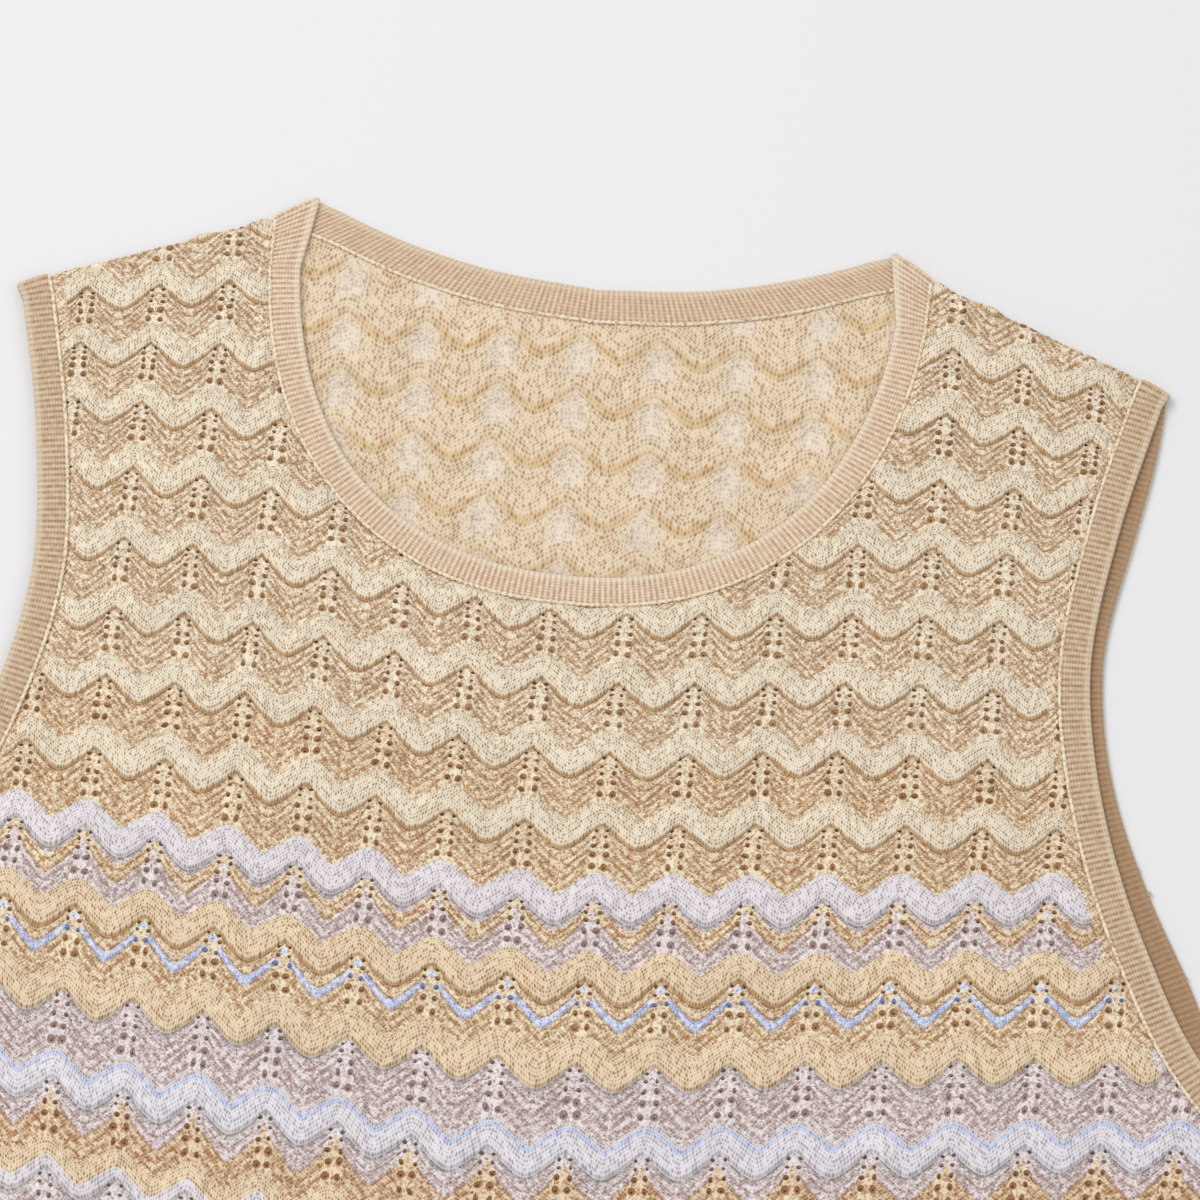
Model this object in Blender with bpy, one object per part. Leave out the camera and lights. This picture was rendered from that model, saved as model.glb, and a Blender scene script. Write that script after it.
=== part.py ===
"""Sleeveless ripple-knit dress laid flat, front up: two knitted panels and three rib bands.

Metres, +Z up. The dress lies on its back panel at z = 0 with the neck towards +Y, and the middle
of its outline is at the origin. Its cut is given as drops, measured down from the neck point,
and as distances out from the centre line.
"""

import bmesh
import bpy
import numpy as np

MM = 0.001

# Size of the whole dress
LENGTH = 900 * MM  # neck point to the tips of the hem scallops
BAND_WIDTH = 9.5 * MM
BAND_THICKNESS = 1.8 * MM
WALL = 1.5 * MM  # knitted panel between its welts
SEAM_GAP = 0.3 * MM
FOLD_CLEARANCE = 0.7 * MM  # a folded band keeps this much further from the panels' corners

# Ripple stitch: a welt and a heather stripe make one row, a peak and a valley one column
COLUMNS = 20  # whole repeats across the body; the side seams cut through the next ones
COLUMN_WIDTH = 23.9 * MM  # at the underarm's width
COLUMN_SHIFT = -3.5 * MM  # of the middle column's peak from the centre line
RIPPLE_DEPTH = 8 * MM  # from a peak down to a valley
FIRST_ROW = -33.5 * MM  # drop of the first row, chosen so that the last welt ends at the hem
ROW_AT_SHOULDER = 23.2 * MM
ROW_AT_SKIRT = 29.1 * MM
ROW_GROWS_FROM = 160 * MM  # drops between which the rows grow taller
ROW_GROWS_TO = 310 * MM
WELT_SHARE = 1 / 3  # of a row's height
WELT_HEIGHT = 1.7 * MM
INSIDE_WELT_HEIGHT = 0.8 * MM  # where the back panel shows inside the neck

# How the front lies over the back
FRONT_RISE = 2.4 * MM  # of the front's inside over its seams
RISE_WIDTH = 55 * MM  # in from the seams
NECKBAND_RISE = 1.6 * MM

# Corners of the cut: distance out and drop
NECK_FOLD_SEAM = (105 * MM, 9 * MM)
NECK_FOLD_FREE = (91 * MM, 0.0)
TIP_FOLD_SEAM = (172 * MM, 35 * MM)
TIP_FOLD_FREE = (182 * MM, 40 * MM)
UNDERARM_SEAM = (232 * MM, 296 * MM)
UNDERARM_FREE = (236 * MM, 287 * MM)

# Front neck seam: a rounded U from the shoulder to the centre
FRONT_NECK_HALF = 104 * MM
FRONT_NECK_TOP = 9 * MM
FRONT_NECK_DEPTH = 121 * MM
FRONT_NECK_SQUARENESS = 2.25

# Back neck, out from the centre line, mm:     seam drop  free drop
BACK_NECK_SEAM_OUT = np.array([0, 32, 63, 90, 105]) * MM
BACK_NECK_SEAM_DROP = np.array([33, 30.3, 23, 13, 9]) * MM
BACK_NECK_FREE_OUT = np.array([0, 38, 64, 77, 91]) * MM
BACK_NECK_FREE_DROP = np.array([21.5, 17.7, 10.9, 6.1, 0]) * MM

# Armhole seam from the shoulder tip to the underarm
ARMHOLE_DROP = np.array([35, 90, 135, 180, 228, 270, 296]) * MM
ARMHOLE_OUT = np.array([172, 160, 155.5, 163, 181, 206, 232]) * MM

# The back armhole of the wearer's left side lies further out than the front one
BACK_SHIFT_DROP = np.array([35, 60, 135, 180, 210, 240, 270, 296]) * MM
BACK_SHIFT_OUT = np.array([0, 4, 4, 5, 7.5, 9.5, 6.5, 0]) * MM

# Side seam from the underarm to the hem
SIDE_DROP = np.array([296, 430, 620, 900]) * MM
SIDE_OUT = np.array([232, 225, 239, 252]) * MM

# Soft folds that cross the front: middle (out, drop), direction, length, width, height
FOLDS = (
    {"out": -120, "drop": 330, "turn": 35, "length": 190, "width": 30, "height": 0.9},
    {"out": 135, "drop": 345, "turn": -30, "length": 210, "width": 34, "height": 1.0},
    {"out": -60, "drop": 560, "turn": 82, "length": 330, "width": 40, "height": 0.8},
    {"out": 95, "drop": 640, "turn": 96, "length": 380, "width": 44, "height": 0.9},
    {"out": 5, "drop": 760, "turn": 88, "length": 260, "width": 36, "height": 0.6},
)

BAND_LIFT = 0.9 * MM  # the bands' outer face past their fold line, at the neck points
NECK_Y = LENGTH / 2 - BAND_LIFT
HEM_DROP = NECK_Y + LENGTH / 2

# Points along the seams, the same for a panel and the band that joins it
NECK_STEPS = 22  # half of the front neck
ARMHOLE_STEPS = 30


def smooth(low, high, value):
    """0 below low, 1 above high, and a soft step between them."""
    share = np.clip((value - low) / (high - low), 0, 1)
    return share * share * (3 - 2 * share)


def along(xs, ys, x):
    """A smooth curve through a table's rows: a cubic between rows, with each row's slope from its neighbours."""
    slopes = np.gradient(ys, xs)
    x = np.clip(x, xs[0], xs[-1])
    i = np.clip(np.searchsorted(xs, x) - 1, 0, len(xs) - 2)
    width = xs[i + 1] - xs[i]
    t = (x - xs[i]) / width
    start = (1 + 2 * t) * (1 - t) ** 2 * ys[i] + t * (1 - t) ** 2 * width * slopes[i]
    end = t * t * (3 - 2 * t) * ys[i + 1] + t * t * (t - 1) * width * slopes[i + 1]
    return start + end


def half_width(drop):
    """The panel's half-width at the armhole and side seams."""
    arm = along(ARMHOLE_DROP, ARMHOLE_OUT, drop)
    side = along(SIDE_DROP, SIDE_OUT, drop)
    return np.where(drop < ARMHOLE_DROP[-1], arm, side)


def row_drops():
    """Drop of each row's welt along the centre line, from above the shoulder to past the hem."""
    drops = [FIRST_ROW]
    while drops[-1] < LENGTH + ROW_AT_SKIRT:
        grown = smooth(ROW_GROWS_FROM, ROW_GROWS_TO, drops[-1])
        drops.append(drops[-1] + ROW_AT_SHOULDER + grown * (ROW_AT_SKIRT - ROW_AT_SHOULDER))
    return np.array(drops)


def row_bow(out, drop):
    """How far a row drops away from its place on the centre line: it rises towards the sides, and falls off again on the shoulders."""
    soft = 35 * MM
    side_length = np.sqrt(out**2 + soft**2) - soft
    rise_above = 12.5 * MM * np.tanh(0.16 * side_length / (12.5 * MM))
    rise_below = np.where(out > 0, 0.13, 0.08) * side_length
    rise = rise_above + (rise_below - rise_above) * smooth(185 * MM, 225 * MM, drop)
    shoulder = 0.2 * (1 - smooth(30 * MM, 110 * MM, drop)) * np.maximum(np.abs(out) - 105 * MM, 0)
    return shoulder - rise * (1 - smooth(330 * MM, 600 * MM, drop))


def column_out(column, reach):
    """Distance out of a column in a panel of this half-width: the columns narrow towards the sides, most on the wearer's right."""
    narrowing = np.where(column < 0, 2.3 * MM, -1.0 * MM) * (np.sqrt(column**2 + 2.5**2) - 2.5)
    return (COLUMN_WIDTH * column + narrowing + COLUMN_SHIFT) * reach / UNDERARM_SEAM[0]


def plan(out, drop):
    """World x and y of a place on the cut."""
    return np.stack([np.asarray(out, float) + 0 * drop, NECK_Y - drop], axis=-1)


def ripple_grid():
    """Plan of the ripple lines and the welt's share of height at each: three lines to a row, two points to a column."""
    drops = row_drops()
    rows = np.diff(drops)
    phases = np.array([0, WELT_SHARE / 2, WELT_SHARE])
    raised = np.array([0.0, 1.0, 0.1])
    lines = (drops[:-1, None] + rows[:, None] * phases).ravel()
    height = np.tile(raised, len(rows))
    half_steps = np.arange(-COLUMNS - 1, COLUMNS + 2)
    is_valley = half_steps % 2
    line_grid, step_grid = np.meshgrid(lines, half_steps, indexing="ij")
    reach = np.where(line_grid < UNDERARM_SEAM[1], UNDERARM_SEAM[0], half_width(line_grid))
    out = column_out(step_grid / 2, reach)
    drop = line_grid + row_bow(out, line_grid) + (is_valley - 0.5) * RIPPLE_DEPTH
    return out, drop, np.repeat(height[:, None], len(half_steps), axis=1)


def fold_height(out, drop):
    """Height of the soft folds: each is a long bump, rounded along and across."""
    height = np.zeros_like(drop)
    for fold in FOLDS:
        turn = np.radians(fold["turn"])
        side, down = out - fold["out"] * MM, drop - fold["drop"] * MM
        length = (side * np.cos(turn) + down * np.sin(turn)) / (fold["length"] / 2 * MM)
        across = (down * np.cos(turn) - side * np.sin(turn)) / (fold["width"] / 2 * MM)
        height += fold["height"] * MM * np.exp(-length**2 - across**2)
    return height


def front_inside(out, drop):
    """Height of the front panel's inside: just over the back at its seams, higher between them."""
    from_side = half_width(drop) - np.abs(out)
    from_hem = HEM_DROP - drop
    slope = (TIP_FOLD_SEAM[1] - NECK_FOLD_SEAM[1]) / (TIP_FOLD_SEAM[0] - NECK_FOLD_SEAM[0])
    from_shoulder = drop - NECK_FOLD_SEAM[1] - slope * (np.abs(out) - NECK_FOLD_SEAM[0])
    inner = smooth(0, RISE_WIDTH, from_side) * smooth(0, RISE_WIDTH, from_hem)
    inner = inner * smooth(0, RISE_WIDTH, from_shoulder)
    return WALL + SEAM_GAP + inner * (FRONT_RISE + fold_height(out, drop))


def front_outside(out, drop, raised):
    return front_inside(out, drop) + WALL + raised * WELT_HEIGHT


def back_inside(out, drop, raised):
    """Height of the back panel's upper side: plain, but rippled where the neck shows it."""
    shown = smooth(0, 10 * MM, 86 * MM - np.abs(out)) * smooth(0, 10 * MM, 112 * MM - drop)
    shown = shown * smooth(0, 6 * MM, drop - 34 * MM)
    return WALL + shown * raised * INSIDE_WELT_HEIGHT


def plain_grid(cell):
    """Plan of an even grid over the whole dress."""
    outs = np.arange(-270 * MM, 270 * MM + cell, cell)
    drops = np.arange(-20 * MM, LENGTH + 20 * MM + cell, cell)
    drop, out = np.meshgrid(drops, outs, indexing="ij")
    return out, drop


def block_under(name, out, drop, height, floor):
    """A closed block whose top is the grid at these heights and whose bottom is flat."""
    rows, columns = drop.shape
    top = np.concatenate([plan(out, drop), height[..., None]], axis=-1).reshape(-1, 3)
    index = np.arange(rows * columns).reshape(rows, columns)
    rim = np.concatenate([index[0, :-1], index[:-1, -1], index[-1, :0:-1], index[:0:-1, 0]])
    low = top[rim].copy()
    low[:, 2] = floor
    a, b, c, d = index[:-1, :-1], index[1:, :-1], index[1:, 1:], index[:-1, 1:]
    leans = (np.arange(columns - 1) % 2 == 0)[None, :, None]
    first = np.where(leans, np.stack([a, b, c], -1), np.stack([a, b, d], -1))
    second = np.where(leans, np.stack([a, c, d], -1), np.stack([b, c, d], -1))
    faces = np.concatenate([first.reshape(-1, 3), second.reshape(-1, 3)]).tolist()
    base = len(top) + np.arange(len(rim))
    around = np.stack([rim, np.roll(rim, -1), np.roll(base, -1), base], axis=-1)
    faces += around.tolist() + [base.tolist()]
    return mesh_object(name, np.concatenate([top, low]), faces)


def prism(name, outline, low, high):
    """A closed upright prism over a plan outline."""
    count = len(outline)
    bottom = np.column_stack([outline, np.full(count, low)])
    top = np.column_stack([outline, np.full(count, high)])
    corner = np.arange(count)
    after = np.roll(corner, -1)
    sides = np.stack([corner, after, after + count, corner + count], axis=-1).tolist()
    caps = [corner[::-1].tolist(), (corner + count).tolist()]
    return mesh_object(name, np.concatenate([bottom, top]), sides + caps)


def mesh_object(name, points, faces):
    mesh = bpy.data.meshes.new(name)
    mesh.from_pydata(points.tolist(), [], faces)
    shape = bmesh.new()
    shape.from_mesh(mesh)
    bmesh.ops.recalc_face_normals(shape, faces=shape.faces)
    shape.to_mesh(mesh)
    shape.free()
    thing = bpy.data.objects.new(name, mesh)
    bpy.context.scene.collection.objects.link(thing)
    return thing


def front_neck_seam(count):
    """Half of the front neck seam, from the shoulder to the centre: a superellipse."""
    turn = np.linspace(0, np.pi / 2, count)
    power = 2 / FRONT_NECK_SQUARENESS
    out = FRONT_NECK_HALF * np.abs(np.cos(turn)) ** power
    out[-1] = 0
    return np.stack([out, FRONT_NECK_TOP + FRONT_NECK_DEPTH * np.sin(turn) ** power], axis=-1)


def armhole_seam(count, shift):
    """The armhole seam from the shoulder tip to the underarm, with the back one shifted out."""
    drop = np.linspace(TIP_FOLD_SEAM[1], UNDERARM_SEAM[1], count)
    out = along(ARMHOLE_DROP, ARMHOLE_OUT, drop)
    return np.stack([out + shift * along(BACK_SHIFT_DROP, BACK_SHIFT_OUT, drop), drop], axis=-1)


def hem_edge():
    """The hem from the wearer's left to right: a scallop below each valley of the ripple."""
    steps = np.linspace(COLUMNS / 2 + 0.35, -COLUMNS / 2 - 0.35, 125)
    lift = RIPPLE_DEPTH * (1 - np.abs(np.sin(np.pi * steps)) ** 0.8)
    out = np.clip(column_out(steps, SIDE_OUT[-1]), -SIDE_OUT[-1], SIDE_OUT[-1])
    return np.stack([out, HEM_DROP - lift], axis=-1)


def mirrored(points):
    """The same curve on the other side, run the other way."""
    return np.stack([-points[::-1, 0], points[::-1, 1]], axis=-1)


def panel_outline(neck_half, left_shift):
    """A panel's closed outline, from the middle of the neck over the wearer's left side, the hem and the right side."""
    left_arm = armhole_seam(ARMHOLE_STEPS, left_shift)
    right_arm = armhole_seam(ARMHOLE_STEPS, 0)
    side_drop = np.linspace(UNDERARM_SEAM[1], HEM_DROP - RIPPLE_DEPTH, 16)[1:-1]
    side = np.stack([half_width(side_drop), side_drop], axis=-1)
    right = np.concatenate([neck_half[::-1][:-1], [NECK_FOLD_SEAM], right_arm, side])
    left = np.concatenate([neck_half[::-1][:-1], [NECK_FOLD_SEAM], left_arm, side])
    cut = np.concatenate([left, hem_edge(), mirrored(right)[:-1]])
    return plan(cut[:, 0], cut[:, 1])


def cut_with(thing, cutter, operation):
    cutter.hide_render = True
    cutter.display_type = "WIRE"
    step = thing.modifiers.new(cutter.name, "BOOLEAN")
    step.operation = operation
    step.object = cutter
    step.solver = "EXACT"


def front_panel():
    """The rippled front: its welts stand on the outside over a smooth inside."""
    out, drop, raised = ripple_grid()
    panel = block_under("front_panel", out, drop, front_outside(out, drop, raised), -5 * MM)
    out, drop = plain_grid(22 * MM)
    hollow = block_under("front_hollow", out, drop, front_inside(out, drop), -9 * MM)
    outline = prism("front_outline", panel_outline(front_neck_seam(NECK_STEPS), 0), -20 * MM, 20 * MM)
    cut_with(panel, hollow, "DIFFERENCE")
    cut_with(panel, outline, "INTERSECT")
    return panel


def back_panel():
    """The back, flat where it rests and rippled on the inside where the neck opening shows it."""
    out, drop, raised = ripple_grid()
    panel = block_under("back_panel", out, drop, back_inside(out, drop, raised), 0.0)
    neck_out = np.linspace(NECK_FOLD_SEAM[0], 0, 13)[1:]
    neck = np.stack([neck_out, along(BACK_NECK_SEAM_OUT, BACK_NECK_SEAM_DROP, neck_out)], axis=-1)
    outline = prism("back_outline", panel_outline(neck, 1), -20 * MM, 20 * MM)
    cut_with(panel, outline, "INTERSECT")
    return panel


def beside(seam, side):
    """A line one band's width from a seam line that runs down: further out (1) or further in (-1)."""
    run = np.gradient(seam, axis=0)
    run /= np.linalg.norm(run, axis=1)[:, None]
    return seam + side * BAND_WIDTH * np.stack([run[:, 1], -run[:, 0]], axis=-1)


BACK_LEVEL = BAND_THICKNESS / 2
FRONT_LEVEL = BACK_LEVEL + BAND_THICKNESS + SEAM_GAP


def band_level(points, rise):
    """The front layer of a band with its height: it rises from its folds towards the middle of its run."""
    share = np.linspace(0, 1, len(points))
    height = FRONT_LEVEL + rise * np.sin(np.pi * share) ** 0.7
    return np.column_stack([points, height])


def folded(seam_corner, free_corner, away, steps):
    """Seam and free points of a band that turns over its fold line from the front layer to the back one."""
    seam_corner, free_corner = np.array(seam_corner), np.array(free_corner)
    line = (free_corner - seam_corner) / np.linalg.norm(free_corner - seam_corner)
    seam_corner = seam_corner + FOLD_CLEARANCE * line
    outward = np.array([line[1], -line[0]])
    if outward @ np.array(away) < 0:
        outward = -outward
    radius = (FRONT_LEVEL - BACK_LEVEL) / 2
    turn = np.linspace(0, np.pi, steps)
    inward = radius * (1 - np.sin(turn))
    level = (FRONT_LEVEL + BACK_LEVEL) / 2 + radius * np.cos(turn)
    seam = np.column_stack([seam_corner - inward[:, None] * outward, level])
    free = np.column_stack([free_corner - inward[:, None] * outward, level])
    return seam, free


def opposite(layer):
    """A band's run of points on the other side of the centre line, run the other way."""
    return layer[::-1] * np.array([-1, 1, 1])


def band(name, seam, free):
    """A closed band ruled from its seam line to its free edge, with rounded edges."""
    to_free = free - seam
    width = np.linalg.norm(to_free, axis=1)
    to_free /= width[:, None]
    middle = (seam + free) / 2
    run = np.roll(middle, -1, axis=0) - np.roll(middle, 1, axis=0)
    face = np.cross(run, to_free)
    face /= np.linalg.norm(face, axis=1)[:, None]
    edge, half = 0.5 * MM, BAND_THICKNESS / 2
    start, end = np.full(len(width), SEAM_GAP), width
    across = np.stack([start, start + edge, end - edge, end, end, end - edge, start + edge, start], axis=1)
    up = half * np.array([-0.4, -1, -1, -0.4, 0.4, 1, 1, 0.4])
    points = seam[:, None] + across[..., None] * to_free[:, None] + up[None, :, None] * face[:, None]
    points[..., 1] = NECK_Y - points[..., 1]
    count, sides = across.shape
    index = np.arange(count * sides).reshape(count, sides)
    nxt, beside_it = np.roll(index, -1, axis=0), np.roll(index, -1, axis=1)
    both = np.roll(nxt, -1, axis=1)
    faces = np.stack([index, nxt, both, beside_it], axis=-1).reshape(-1, 4)
    return mesh_object(name, points.reshape(-1, 3), faces.tolist())


def neckband():
    """One rib band round the neck, folded over at both shoulders."""
    seam = front_neck_seam(NECK_STEPS)[2:]
    free = beside(seam, -1)
    front_seam = np.concatenate([seam, mirrored(seam)[1:]])
    front_free = np.concatenate([free, mirrored(free)[1:]])
    front_free[len(seam) - 1, 0] = 0
    share = np.linspace(1, -1, 25)[1:-1]
    seam_out, free_out = share * NECK_FOLD_SEAM[0], share * NECK_FOLD_FREE[0]
    seam_drop = along(BACK_NECK_SEAM_OUT, BACK_NECK_SEAM_DROP, np.abs(seam_out))
    free_drop = along(BACK_NECK_FREE_OUT, BACK_NECK_FREE_DROP, np.abs(free_out))
    level = np.full(len(share), BACK_LEVEL)
    back_seam = np.column_stack([seam_out, seam_drop, level])
    back_free = np.column_stack([free_out, free_drop, level])
    fold_seam, fold_free = folded(NECK_FOLD_SEAM, NECK_FOLD_FREE, (0, -1), 9)
    front = [band_level(front_seam, NECKBAND_RISE), band_level(front_free, NECKBAND_RISE)]
    seam_line = [front[0], opposite(fold_seam)[::-1], back_seam[::-1], fold_seam[::-1]]
    free_line = [front[1], opposite(fold_free)[::-1], back_free[::-1], fold_free[::-1]]
    return band("neckband", np.concatenate(seam_line), np.concatenate(free_line))


def armhole_band(name, side, shift):
    """One rib band round an armhole, folded over at the shoulder tip and under the arm."""
    front_seam = armhole_seam(ARMHOLE_STEPS, 0)[1:-1]
    back_seam = armhole_seam(ARMHOLE_STEPS, shift)[1:-1]
    front_free, back_free = beside(front_seam, 1), beside(back_seam, 1)
    tip_seam, tip_free = folded(TIP_FOLD_SEAM, TIP_FOLD_FREE, (0, -1), 9)
    under_seam, under_free = folded(UNDERARM_SEAM, UNDERARM_FREE, (1, 0), 9)
    low = np.full((len(back_seam), 1), BACK_LEVEL)
    high = np.full((len(front_seam), 1), FRONT_LEVEL)
    seam = [np.hstack([front_seam, high]), under_seam, np.hstack([back_seam, low])[::-1], tip_seam[::-1]]
    free = [np.hstack([front_free, high]), under_free, np.hstack([back_free, low])[::-1], tip_free[::-1]]
    flip = np.array([side, 1, 1])
    return band(name, np.concatenate(seam) * flip, np.concatenate(free) * flip)


def yarn(name, colour, roughness):
    """A knitted yarn: its colour is linear RGB."""
    material = bpy.data.materials.new(name)
    material.use_nodes = True
    shader = material.node_tree.nodes["Principled BSDF"]
    shader.inputs["Base Color"].default_value = (*colour, 1)
    shader.inputs["Roughness"].default_value = roughness
    shader.inputs["Metallic"].default_value = 0
    return material


def build():
    for old in list(bpy.data.objects):
        bpy.data.objects.remove(old)
    front, back = front_panel(), back_panel()
    neck = neckband()
    left = armhole_band("armhole_band_left", 1, 1)
    right = armhole_band("armhole_band_right", -1, 0)
    front.data.materials.append(yarn("ripple_knit_front", (0.61, 0.47, 0.30), 0.85))
    back.data.materials.append(yarn("ripple_knit_back", (0.66, 0.53, 0.36), 0.85))
    neck.data.materials.append(yarn("rib_neckband", (0.50, 0.36, 0.23), 0.8))
    for arm in (left, right):
        arm.data.materials.append(yarn("rib_" + arm.name, (0.50, 0.36, 0.23), 0.8))


build()
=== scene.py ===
"""A sleeveless ripple-knit dress laid flat, front up: its two knitted panels, the rib bands at the
neck and the armholes, and the linked seams, in the order in which the dress is put together.
"""

import bpy
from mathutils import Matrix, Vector
import numpy as np


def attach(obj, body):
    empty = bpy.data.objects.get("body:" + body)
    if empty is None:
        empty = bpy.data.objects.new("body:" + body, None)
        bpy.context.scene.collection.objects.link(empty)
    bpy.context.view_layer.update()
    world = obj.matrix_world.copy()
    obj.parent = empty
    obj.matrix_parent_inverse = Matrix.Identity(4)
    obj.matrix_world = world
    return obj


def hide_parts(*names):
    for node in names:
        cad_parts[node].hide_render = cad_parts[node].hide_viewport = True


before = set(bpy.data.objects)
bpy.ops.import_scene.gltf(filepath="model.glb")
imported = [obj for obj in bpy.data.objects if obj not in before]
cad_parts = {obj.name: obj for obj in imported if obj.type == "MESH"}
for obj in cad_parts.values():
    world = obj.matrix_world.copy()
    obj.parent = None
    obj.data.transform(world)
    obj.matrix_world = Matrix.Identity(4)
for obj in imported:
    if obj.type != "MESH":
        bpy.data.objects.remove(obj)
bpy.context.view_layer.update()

MM = 0.001

# ---------------------------------------------------------------------------------------------
# The cut. Both panels are knitted to the same shape: distances out from the centre line and
# drops, measured down from the neck point. They meet at the shoulders and along the sides.
# ---------------------------------------------------------------------------------------------

LENGTH = 900 * MM
BAND_LIFT = 0.9 * MM
NECK_Y = LENGTH / 2 - BAND_LIFT
HEM_DROP = NECK_Y + LENGTH / 2

NECK_FOLD_SEAM = np.array([105, 9]) * MM
TIP_FOLD_SEAM = np.array([172, 35]) * MM
UNDERARM_SEAM = np.array([232, 296]) * MM

ARMHOLE_DROP = np.array([35, 90, 135, 180, 228, 270, 296]) * MM
ARMHOLE_OUT = np.array([172, 160, 155.5, 163, 181, 206, 232]) * MM

SIDE_DROP = np.array([296, 430, 620, 900]) * MM
SIDE_OUT = np.array([232, 225, 239, 252]) * MM


def smooth(low, high, value):
    """0 below low, 1 above high, and the cubic 3t^2 - 2t^3 between them."""
    share = np.clip((value - low) / (high - low), 0, 1)
    return share * share * (3 - 2 * share)


def along(xs, ys, x):
    """A smooth curve through a table: Hermite cubics whose slopes are the table's own gradients."""
    slopes = np.gradient(ys, xs)
    x = np.clip(x, xs[0], xs[-1])
    i = np.clip(np.searchsorted(xs, x) - 1, 0, len(xs) - 2)
    width = xs[i + 1] - xs[i]
    t = (x - xs[i]) / width
    start = (1 + 2 * t) * (1 - t) ** 2 * ys[i] + t * (1 - t) ** 2 * width * slopes[i]
    end = t * t * (3 - 2 * t) * ys[i + 1] + t * t * (t - 1) * width * slopes[i + 1]
    return start + end


def half_width(drop):
    """The panel's half-width at the armhole seam, and below it at the side seam."""
    arm = along(ARMHOLE_DROP, ARMHOLE_OUT, drop)
    side = along(SIDE_DROP, SIDE_OUT, drop)
    return np.where(drop < ARMHOLE_DROP[-1], arm, side)


# ---------------------------------------------------------------------------------------------
# Ripple stitch. Each row is a welt, a roll of purl courses that stands up, and a heather stripe
# of lace chevrons with a ladder of paired eyelets under every peak. It is machine-knitted in
# viscose and cotton yarns, two plies of different colours twisted together in the stripes.
# ---------------------------------------------------------------------------------------------

COLUMN_WIDTH = 23.9 * MM
COLUMN_SHIFT = -3.5 * MM
COLUMN_REACH = 10.6  # columns to a side that cover the panel
RIPPLE_DEPTH = 7.4 * MM
RIPPLE_DEPTH_IN_STRIPE = 9.4 * MM
FIRST_ROW = -33.5 * MM
ROW_AT_SHOULDER = 23.2 * MM
ROW_AT_SKIRT = 29.1 * MM
ROW_GROWS_FROM = 160 * MM
ROW_GROWS_TO = 310 * MM
WELT_END = 0.335  # of a row
WELT_HEIGHT = 1.25 * MM
LAST_ROW_AT = HEM_DROP - 20 * MM  # the row that starts past this drop has only its welt
WAVE_LAG = 0.10  # of a row: how much later a stripe starts in a valley than at a peak

BOW_SOFT = 35 * MM  # half the width over which a row turns at the centre line
BOW_RISE = 12.5 * MM  # above the chest a row rises towards the sides by at most this
BOW_SLOPE = 0.16  # and starts so steeply
BOW_SLOPE_BELOW = (0.08, 0.13)  # below it the slope stays: wearer's right, left


def row_starts():
    """Drop of each row on the centre line, each further than the last by a height that grows."""
    drops = [FIRST_ROW]
    while drops[-1] < LENGTH + ROW_AT_SKIRT:
        grown = smooth(ROW_GROWS_FROM, ROW_GROWS_TO, drops[-1])
        drops.append(drops[-1] + ROW_AT_SHOULDER + grown * (ROW_AT_SKIRT - ROW_AT_SHOULDER))
    return np.array(drops)


ROW_STARTS = row_starts()
ROWS = int(np.searchsorted(ROW_STARTS, LAST_ROW_AT))  # the last row is the hem's welt

# Marks down a welt and down a stripe: the share of it, the lift (of the welt's) and the flute (mm).
# Both rise slowly and end in a steep step, and the welt hangs a little over the stripe below.
WELT_CURVE = (
    (0.00, 0.00, 0.00), (0.07, 0.36, 0.00), (0.17, 0.68, 0.00), (0.30, 0.88, 0.00),
    (0.46, 0.98, 0.00), (0.62, 1.00, 0.00), (0.78, 0.92, 0.00), (0.89, 0.68, 0.00),
    (0.96, 0.34, 0.00), (0.965, 0.00, 0.00),
)
STRIPE_CURVE = (
    (0.000, 0, -0.28), (0.029, 0, -0.36), (0.058, 0, -0.18), (0.126, 0, 0.22),
    (0.187, 0, 0.16), (0.219, 0, -0.40), (0.250, 0, -0.18), (0.336, 0, 0.30),
    (0.391, 0, 0.24), (0.434, 0, -0.42), (0.477, 0, -0.16), (0.531, 0, 0.30),
    (0.574, 0, 0.26), (0.636, 0, -0.40), (0.697, 0, -0.10), (0.746, 0, 0.30),
    (0.796, 0, 0.24), (0.866, 0, -0.30), (0.936, 0, 0.00),
)
WELT_MARKS = tuple((share * WELT_END, lift, flute) for share, lift, flute in WELT_CURVE)
STRIPE_MARKS = tuple(
    (WELT_END + share * (1 - WELT_END), lift, flute) for share, lift, flute in STRIPE_CURVE
)
EYELET_MARKS = (1, 5, 9, 13, 17)  # places in STRIPE_MARKS of the eyelets' middles
EYELET_ACROSS = np.array([1.6, 1.6, 2.0, 2.5, 2.5]) * MM
EYELET_DOWN = np.array([1.7, 1.6, 2.2, 3.1, 3.5]) * MM
EYELET_OUT = 0.079  # of a column, from its spine

# Marks across half a column, from the spine under a peak to the valley
FINE_COLUMN = (0, 0.040, 0.079, 0.118, 0.158, 0.20, 0.24, 0.285, 0.33, 0.375, 0.42, 0.46)
PLAIN_COLUMN = (0, 0.040, 0.079, 0.118, 0.20, 0.30, 0.40)


def soft_abs(value, rounding):
    """Distance from 0 with its corner rounded: the root of value^2 + rounding^2, less rounding."""
    return np.sqrt(value**2 + rounding**2) - rounding


def off_peak(column):
    """How far across each place is from the nearest peak, in columns."""
    return np.abs(column - np.round(column))


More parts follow.
